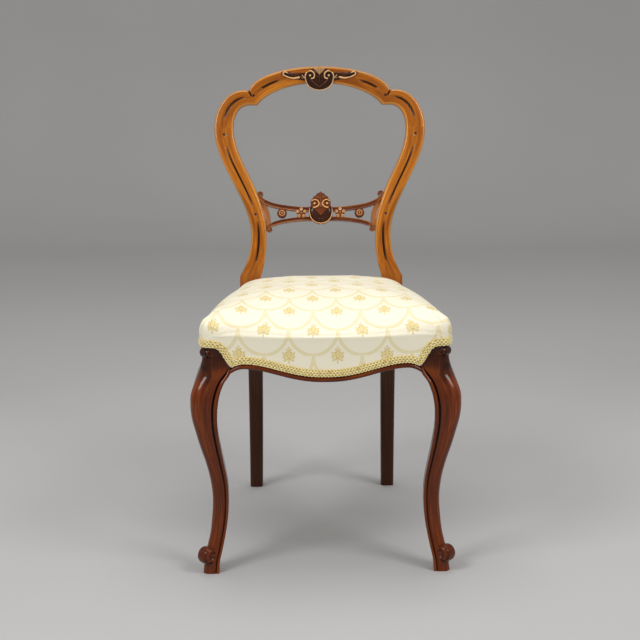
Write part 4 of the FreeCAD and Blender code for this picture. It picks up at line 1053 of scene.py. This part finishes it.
def cell(tree, u, v, width, height, lift, turn):
    """Half-drop repeat: place inside the cell, across and up."""
    row = maths(tree, "FLOOR", maths(tree, "MULTIPLY_ADD", v, 1 / height, lift))
    odd = maths(tree, "FLOORED_MODULO", maths(tree, "ADD", row, turn), 2.0)
    odd = maths(tree, "MULTIPLY", odd, width / 2)
    x = maths(tree, "WRAP", maths(tree, "ADD", u, odd), width / 2, -width / 2)
    return x, maths(tree, "SUBTRACT", v, maths(tree, "MULTIPLY", row, height))


# Petals of the sprig: middle, half sizes and turn, in mm and degrees
SPRIG = [((0, 2.6), (3.8, 8.8), 0), ((6.4, 1.2), (3.2, 6.6), 28), ((5.3, -7.0), (2.4, 4.8), 58),
         ((0, -10.5), (1.4, 5.2), 0), ((0, 14.5), (1.7, 2.3), 0), ((3.0, 10.2), (1.6, 3.2), -24),
         ((9.8, 5.2), (1.5, 1.9), 0)]


def ivory_damask():
    """Cotton and silk damask, satin woven: ivory ground, pale gold scales with a sprig in each."""
    material, tree, shader = new_material("ivory_gold_damask")
    width, height = 0.086, 0.049
    uv = place_in(tree, "UV")
    parts = add(tree, "SeparateXYZ", s0=uv)
    u = maths(tree, "ADD", parts.outputs[0], -0.0211)
    v = maths(tree, "ADD", parts.outputs[1], 0.038)
    x, y = cell(tree, u, v, width, height, 0.0, 0.0)
    y = maths(tree, "SUBTRACT", y, height)
    y = maths(tree, "MULTIPLY", y, 0.90)
    reach = maths(tree, "SQRT", maths(tree, "MULTIPLY_ADD", x, x, maths(tree, "MULTIPLY", y, y)))
    off = maths(tree, "ABSOLUTE", maths(tree, "SUBTRACT", reach, 0.0430))
    band = map_range(tree, off, 0.0030, 0.0020)
    line = maths(tree, "ABSOLUTE", maths(tree, "SUBTRACT", off, 0.0017))
    line = map_range(tree, line, 0.0009, 0.0004)
    x, y = cell(tree, u, v, width, height, 0.5, 1.0)
    side = maths(tree, "ABSOLUTE", x)
    sprig = petal(tree, side, y, *SPRIG[0])
    for shape in SPRIG[1:]:
        sprig = maths(tree, "MAXIMUM", sprig, petal(tree, side, y, *shape))
    whole_sprig = map_range(tree, sprig, -0.06, 0.10)
    rim = map_range(tree, sprig, 0.34, 0.16)
    dashes = add(tree, "TexVoronoi", {"in2": 620.0}, Vector=uv).outputs["Distance"]
    stitched = map_range(tree, dashes, 0.2, 0.6, 0.55, 1.0)
    colour = blend_colours(tree, maths(tree, "MULTIPLY", band, 0.6), "#f4ecd3", "#e8dba8")
    colour = blend_colours(tree, maths(tree, "MULTIPLY", line, 0.5), colour, "#dcc987")
    gold = blend_colours(tree, rim, "#e6d28a", "#cdb25c")
    colour = blend_colours(tree, maths(tree, "MULTIPLY", whole_sprig, stitched), colour, gold)
    threads = noise(tree, stretched(tree, uv, (1400.0, 500.0, 1.0)), 1.0, 2.0)
    raised = maths(tree, "MULTIPLY_ADD", maths(tree, "MAXIMUM", whole_sprig, band), 0.5, threads)
    set_inputs(tree, shader, {
        "Base Color": colour, "Normal": bump(tree, raised, 0.22, 0.0006), "Roughness": 0.52,
        "Sheen Weight": 0.15, "Sheen Roughness": 0.4})
    return material


rows, cloth = cover_rows()
cover = skin("seat_cover_damask", rows, closed=True, capped=False, uv=cloth)
puff(cover, RAIL_TOP + 0.012, 0.003)
finish(cover, ivory_damask(), "damask", "seat_cover", "top_stuffing", "first_stuffing")


def braid_heights(run, across):
    """Gimp braid: two corded scalloped edges, and two cords that cross in loops, all in mm."""
    ridge = lambda d, w: np.sqrt(np.clip(1 - (d / w) ** 2, 0, 1))
    loop = 3.0 * np.sin(run * 2 * math.pi / 12.0)
    height = 0.9 + 0 * run
    for sign in (1, -1):
        height = np.maximum(height, 0.9 + 1.5 * ridge(across - sign * loop, 1.15))
        edge = 5.5 + 0.8 * np.cos(run * 2 * math.pi / 6.0)
        height = np.maximum(height, 0.7 + 1.1 * ridge(across - sign * edge, 1.0))
    twist = 0.25 * np.sin(run * 2 * math.pi / 1.1 + across * 2.5)
    return height + twist * (height > 1.2)


def braid(name, keep):
    """Ribbon of braid along the cover's lower edge, over part of the seat's plan."""
    line = np.concatenate([plan, bottom[:, None]], 1)[keep]
    out = facing[keep]
    length = np.concatenate([[0], np.cumsum(np.linalg.norm(np.diff(line[:, :2], axis=0), axis=1))])
    run = np.linspace(0, length[-1], int(length[-1] / 0.00075))
    level = np.interp(run, length, line[:, 2])
    for _ in range(60):
        level[1:-1] = (level[:-2] + 2 * level[1:-1] + level[2:]) / 4
    slope = np.gradient(level, run)
    up = unit(np.stack([-slope, np.ones_like(slope)], -1))
    across = np.linspace(-0.0069, 0.0069, 25)
    scallop = across * (1 + 0.09 * np.cos(run[:, None] * 2 * math.pi / 0.006))
    w = run[:, None] + up[:, :1] * (scallop + 0.0068)
    z = level[:, None] + up[:, 1:] * (scallop + 0.0068)
    travelled = np.concatenate([[0], np.cumsum(np.hypot(np.diff(run), np.diff(level)))])
    height = braid_heights(travelled[:, None] / MM, across / MM)
    height[:, [0, -1]] = 0.0
    place = np.stack([np.interp(w, length, line[:, k]) for k in (0, 1)], -1)
    face = unit(np.stack([np.interp(w, length, out[:, k]) for k in (0, 1)], -1) + 1e-9)
    under = np.interp(z - RAIL_TOP, EDGE_HEIGHT, EDGE_OUT)
    place = place + face * (under + height * MM)[..., None]
    rows = np.concatenate([place, z[..., None]], -1)
    # Tone from height: painted shade low between the cords, painted highlight on their tops.
    tone = np.clip((height - 0.9) / 1.3, 0, 1)
    cloth = np.stack([travelled[:, None] + 0 * w, across + 0 * w], -1)
    piece = skin(name, rows, tone, closed=False, capped=False, uv=cloth)
    thicken(piece, 0.0008, -1)
    return piece


def gold_braid():
    """Rayon gimp, plaited: cream bands and gold cords, painted highlight on the raised cords and painted
    shade between them.
    """
    material, tree, shader = new_material("cream_gold_gimp")
    uv = place_in(tree, "UV")
    colour = colour_ramp(tree, relief_value(tree), [(0.0, "#cfae50"), (0.3, "#e8d486"), (0.62, "#f5e8ac"),
                                                    (1.0, "#f9f0c0")])
    worn = map_range(tree, noise(tree, uv, 170.0, 3.0), 0.55, 0.66, 0.0, 0.85)
    threads = noise(tree, uv, 2200.0, 1.0)
    set_inputs(tree, shader, {
        "Base Color": blend_colours(tree, worn, colour, "#bd9336"), "Roughness": 0.5,
        "Normal": bump(tree, threads, 0.35, 0.0004), "Sheen Weight": 0.2})
    return material


at_front = plan[:, 1] < POST_Y - 0.0005
order = np.roll(np.arange(len(plan)), len(plan) // 2)
front_run = order[at_front[order]]
rear_run = np.nonzero(plan[:, 1] > SEAT_BACK_Y - 1e-6)[0]
trim = joined("gimp_braid", [braid("braid_front_and_sides", front_run), braid("braid_back", rear_run)])
finish(trim, gold_braid(), "gold_braid", "braid_trim")


def woven_cloth(name, colours, pitch):
    """Plain open weave; the threads are drawn at their real pitch, in mm."""
    material, tree, shader = new_material(name)
    uv = place_in(tree, "UV")
    parts = add(tree, "SeparateXYZ", s0=uv)
    turn = 2 * math.pi / (pitch * MM)
    waves = [maths(tree, "SINE", maths(tree, "MULTIPLY", parts.outputs[i], turn)) for i in (0, 1)]
    weave = maths(tree, "MULTIPLY", waves[0], waves[1])
    tone = maths(tree, "MULTIPLY_ADD", weave, 0.22, noise(tree, uv, 90.0, 4.0))
    colour = colour_ramp(tree, tone, list(zip((0.25, 0.5, 0.78), colours)))
    set_inputs(tree, shader, {
        "Base Color": colour, "Normal": bump(tree, weave, 0.6, 0.0005), "Roughness": 0.85,
        "Sheen Weight": 0.1})
    return material


WEB_HALF = 0.025
WEB_THICKNESS = 0.0012
WEB_CLEARANCE = 0.007
WEB_SLOPE = 0.008
WEB_STEP = 0.0014
web_jute = woven_cloth("jute_web", ("#6d5230", "#a88a55", "#c9ae78"), 1.6)
hessian_cloth = woven_cloth("hessian_weave", ("#7d6238", "#b39766", "#d4bc8c"), 1.3)


def web(name, start, end, crossings, over_first):
    """Woven strap on the rails, over and under the straps it meets."""
    along = unit(end - start)
    across = np.array([-along[1], along[0]])
    length = float(np.linalg.norm(end - start))
    reach = WEB_HALF + WEB_CLEARANCE
    places, heights = [0.0], [0.0]
    for i, place in enumerate(crossings):
        if (i % 2 == 0) == over_first:
            places += [place - reach - WEB_SLOPE, place - reach, place + reach, place + reach + WEB_SLOPE]
            heights += [0.0, WEB_STEP, WEB_STEP, 0.0]
    s = np.linspace(0, length, 240)
    rise = np.interp(s, places + [length], heights + [0.0])
    around = (-1, -0.5, 0, 0.5, 1)
    ring = np.array([(a, 0) for a in around] + [(a, 1) for a in around[::-1]])
    xy = start + along * s[:, None]
    xy = xy[:, None] + across * (WEB_HALF * ring[:, :1])
    z = RAIL_TOP + rise[:, None] + WEB_THICKNESS * ring[:, 1]
    return skin(name, np.concatenate([xy, z[..., None]], -1))


web_pitch = 0.084
row_y = [FRONT_Y + 0.062 + i * web_pitch for i in range(4)]
column_x = [(i - 1) * web_pitch for i in range(3)]
y0, y1 = FRONT_Y + 0.008, SEAT_BACK_Y - 0.006
long_webs = [web("web", np.array([x, y0]), np.array([x, y1]), [y - y0 for y in row_y], i % 2 == 0)
             for i, x in enumerate(column_x)]
cross_webs = []
for i, y in enumerate(row_y):
    reach = float(rail_face_x(y)) - 0.007
    cross_webs.append(web("web", np.array([-reach, y]), np.array([reach, y]),
                          [x + reach for x in column_x], i % 2 == 1))
finish(joined("webs_front_to_back", long_webs), web_jute, "jute_web", "webbing_front_to_back")
finish(joined("webs_side_to_side", cross_webs), web_jute, "jute_web", "webbing_side_to_side")

inset = np.linspace(0, 1, 26)[:, None, None]
centre = np.array([0.0, MIDDLE_Y])
edge_line = plan - facing * 0.006
flat_rows = edge_line[None] * (1 - inset) + centre * inset
level = np.full(flat_rows.shape[:2] + (1,), RAIL_TOP + 0.0028)
hessian = skin("hessian_platform", np.concatenate([flat_rows, level], -1), closed=True, capped=False,
               uv=np.concatenate([flat_rows, flat_rows[:, :1]], 1))
thicken(hessian, 0.0007, 0)
finish(hessian, hessian_cloth, "hessian", "hessian_base")


# Hidden frame pieces keep their solids


def sawn_beech():
    """Beech, planed and left bare: pale pink-brown with short dark flecks, now a little dusty."""
    material, tree, shader = new_material("planed_beech")
    place = place_in(tree, "Object")
    grain = noise(tree, stretched(tree, place, (14.0, 160.0, 160.0)), 1.0, 5.0, 0.6)
    colour = colour_ramp(tree, grain, [(0.3, "#7c5533"), (0.5, "#a97c50"), (0.72, "#c29a6c")])
    flecks = add(tree, "TexVoronoi", {"in2": 1.0}, Vector=stretched(tree, place, (120.0, 700.0, 700.0)))
    fleck = map_range(tree, flecks.outputs["Distance"], 0.22, 0.1, 0.0, 0.5)
    set_inputs(tree, shader, {
        "Base Color": blend_colours(tree, fleck, colour, "#5e3c20"), "Roughness": 0.6,
        "Normal": bump(tree, grain, 0.2, 0.0005)})
    return material


def screw_steel():
    """Mild steel screws, turned and dulled by age: dark grey with brown patches of rust."""
    material, tree, shader = new_material("dulled_steel")
    share = map_range(tree, noise(tree, place_in(tree, "Object"), 420.0, 3.0), 0.5, 0.64)
    set_inputs(tree, shader, {
        "Base Color": blend_colours(tree, share, "#8b8985", "#5f3a22"), "Metallic": 0.9,
        "Roughness": map_range(tree, share, 0.0, 1.0, 0.38, 0.8)})
    return material


beech = sawn_beech()
steel = screw_steel()
for node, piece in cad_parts.items():
    wanted = steel if node == "brace_screws" else beech
    piece.data.materials.clear()
    piece.data.materials.append(wanted)


# Studio: pale floor, soft lamps, and the camera where the photograph was taken from


def studio_grey():
    """Painted board, rolled: even pale grey with a faint broad unevenness."""
    material, tree, shader = new_material("painted_board")
    cloud = noise(tree, place_in(tree, "Object"), 1.3, 2.0)
    set_inputs(tree, shader, {
        "Base Color": blend_colours(tree, cloud, "#b4b3b2", "#bebdbc"), "Roughness": 0.75})
    return material


bpy.ops.object.select_all(action="DESELECT")
ROOM = 5.5
FLOOR_END = 3.2
SWEEP = 0.9
turn = np.linspace(-math.pi / 2, 0, 14)[1:]
line = [(-ROOM, 0.0), (FLOOR_END, 0.0)]
line += [(FLOOR_END + SWEEP * math.cos(t), SWEEP + SWEEP * math.sin(t)) for t in turn]
line.append((FLOOR_END + SWEEP, ROOM))
wide = np.linspace(-ROOM, ROOM, 3)
rows = np.array([[(x, y, z) for x in wide] for y, z in line])
backdrop = skin("studio_sweep", rows, closed=False, capped=False)
backdrop.data.materials.append(studio_grey())

world = bpy.data.worlds.new("soft_room")
bpy.context.scene.world = world
world.use_nodes = True
background = world.node_tree.nodes["Background"]
background.inputs[0].default_value = (1, 1, 1, 1)
background.inputs[1].default_value = 0.42


def soft_lamp(name, place, aim, size, power):
    light = bpy.data.lights.new(name, "AREA")
    light.shape = "RECTANGLE"
    light.size, light.size_y = size
    light.energy = power
    lamp = bpy.data.objects.new(name, light)
    bpy.context.scene.collection.objects.link(lamp)
    lamp.location = place
    lamp.rotation_euler = (Vector(aim) - Vector(place)).to_track_quat("-Z", "Y").to_euler()


soft_lamp("softbox_left", (-1.7, -1.6, 2.3), (0, 0, 0.45), (1.0, 1.0), 33)
soft_lamp("softbox_right", (1.8, -1.5, 2.3), (0, 0, 0.45), (1.0, 1.0), 29)
soft_lamp("softbox_top", (0.0, 0.2, 2.9), (0, 0, 0.4), (2.0, 1.6), 26)

lens = bpy.data.cameras.new("view")
lens.lens = 80.49
camera = bpy.data.objects.new("view", lens)
bpy.context.scene.collection.objects.link(camera)
yaw, pitch, roll = math.radians(0.91), math.radians(12.60), math.radians(-0.32)
ahead = Vector((math.sin(yaw) * math.cos(pitch), math.cos(yaw) * math.cos(pitch), -math.sin(pitch)))
right = Vector((math.cos(yaw), -math.sin(yaw), 0))
up = right.cross(ahead)
right, up = (right * math.cos(roll) + up * math.sin(roll), up * math.cos(roll) - right * math.sin(roll))
camera.matrix_world = Matrix((right, up, -ahead)).transposed().to_4x4()
camera.location = (-0.049, -2.489 + FRONT_LEG[1], 1.024)
bpy.context.scene.camera = camera

bpy.context.scene.view_settings.view_transform = "Standard"
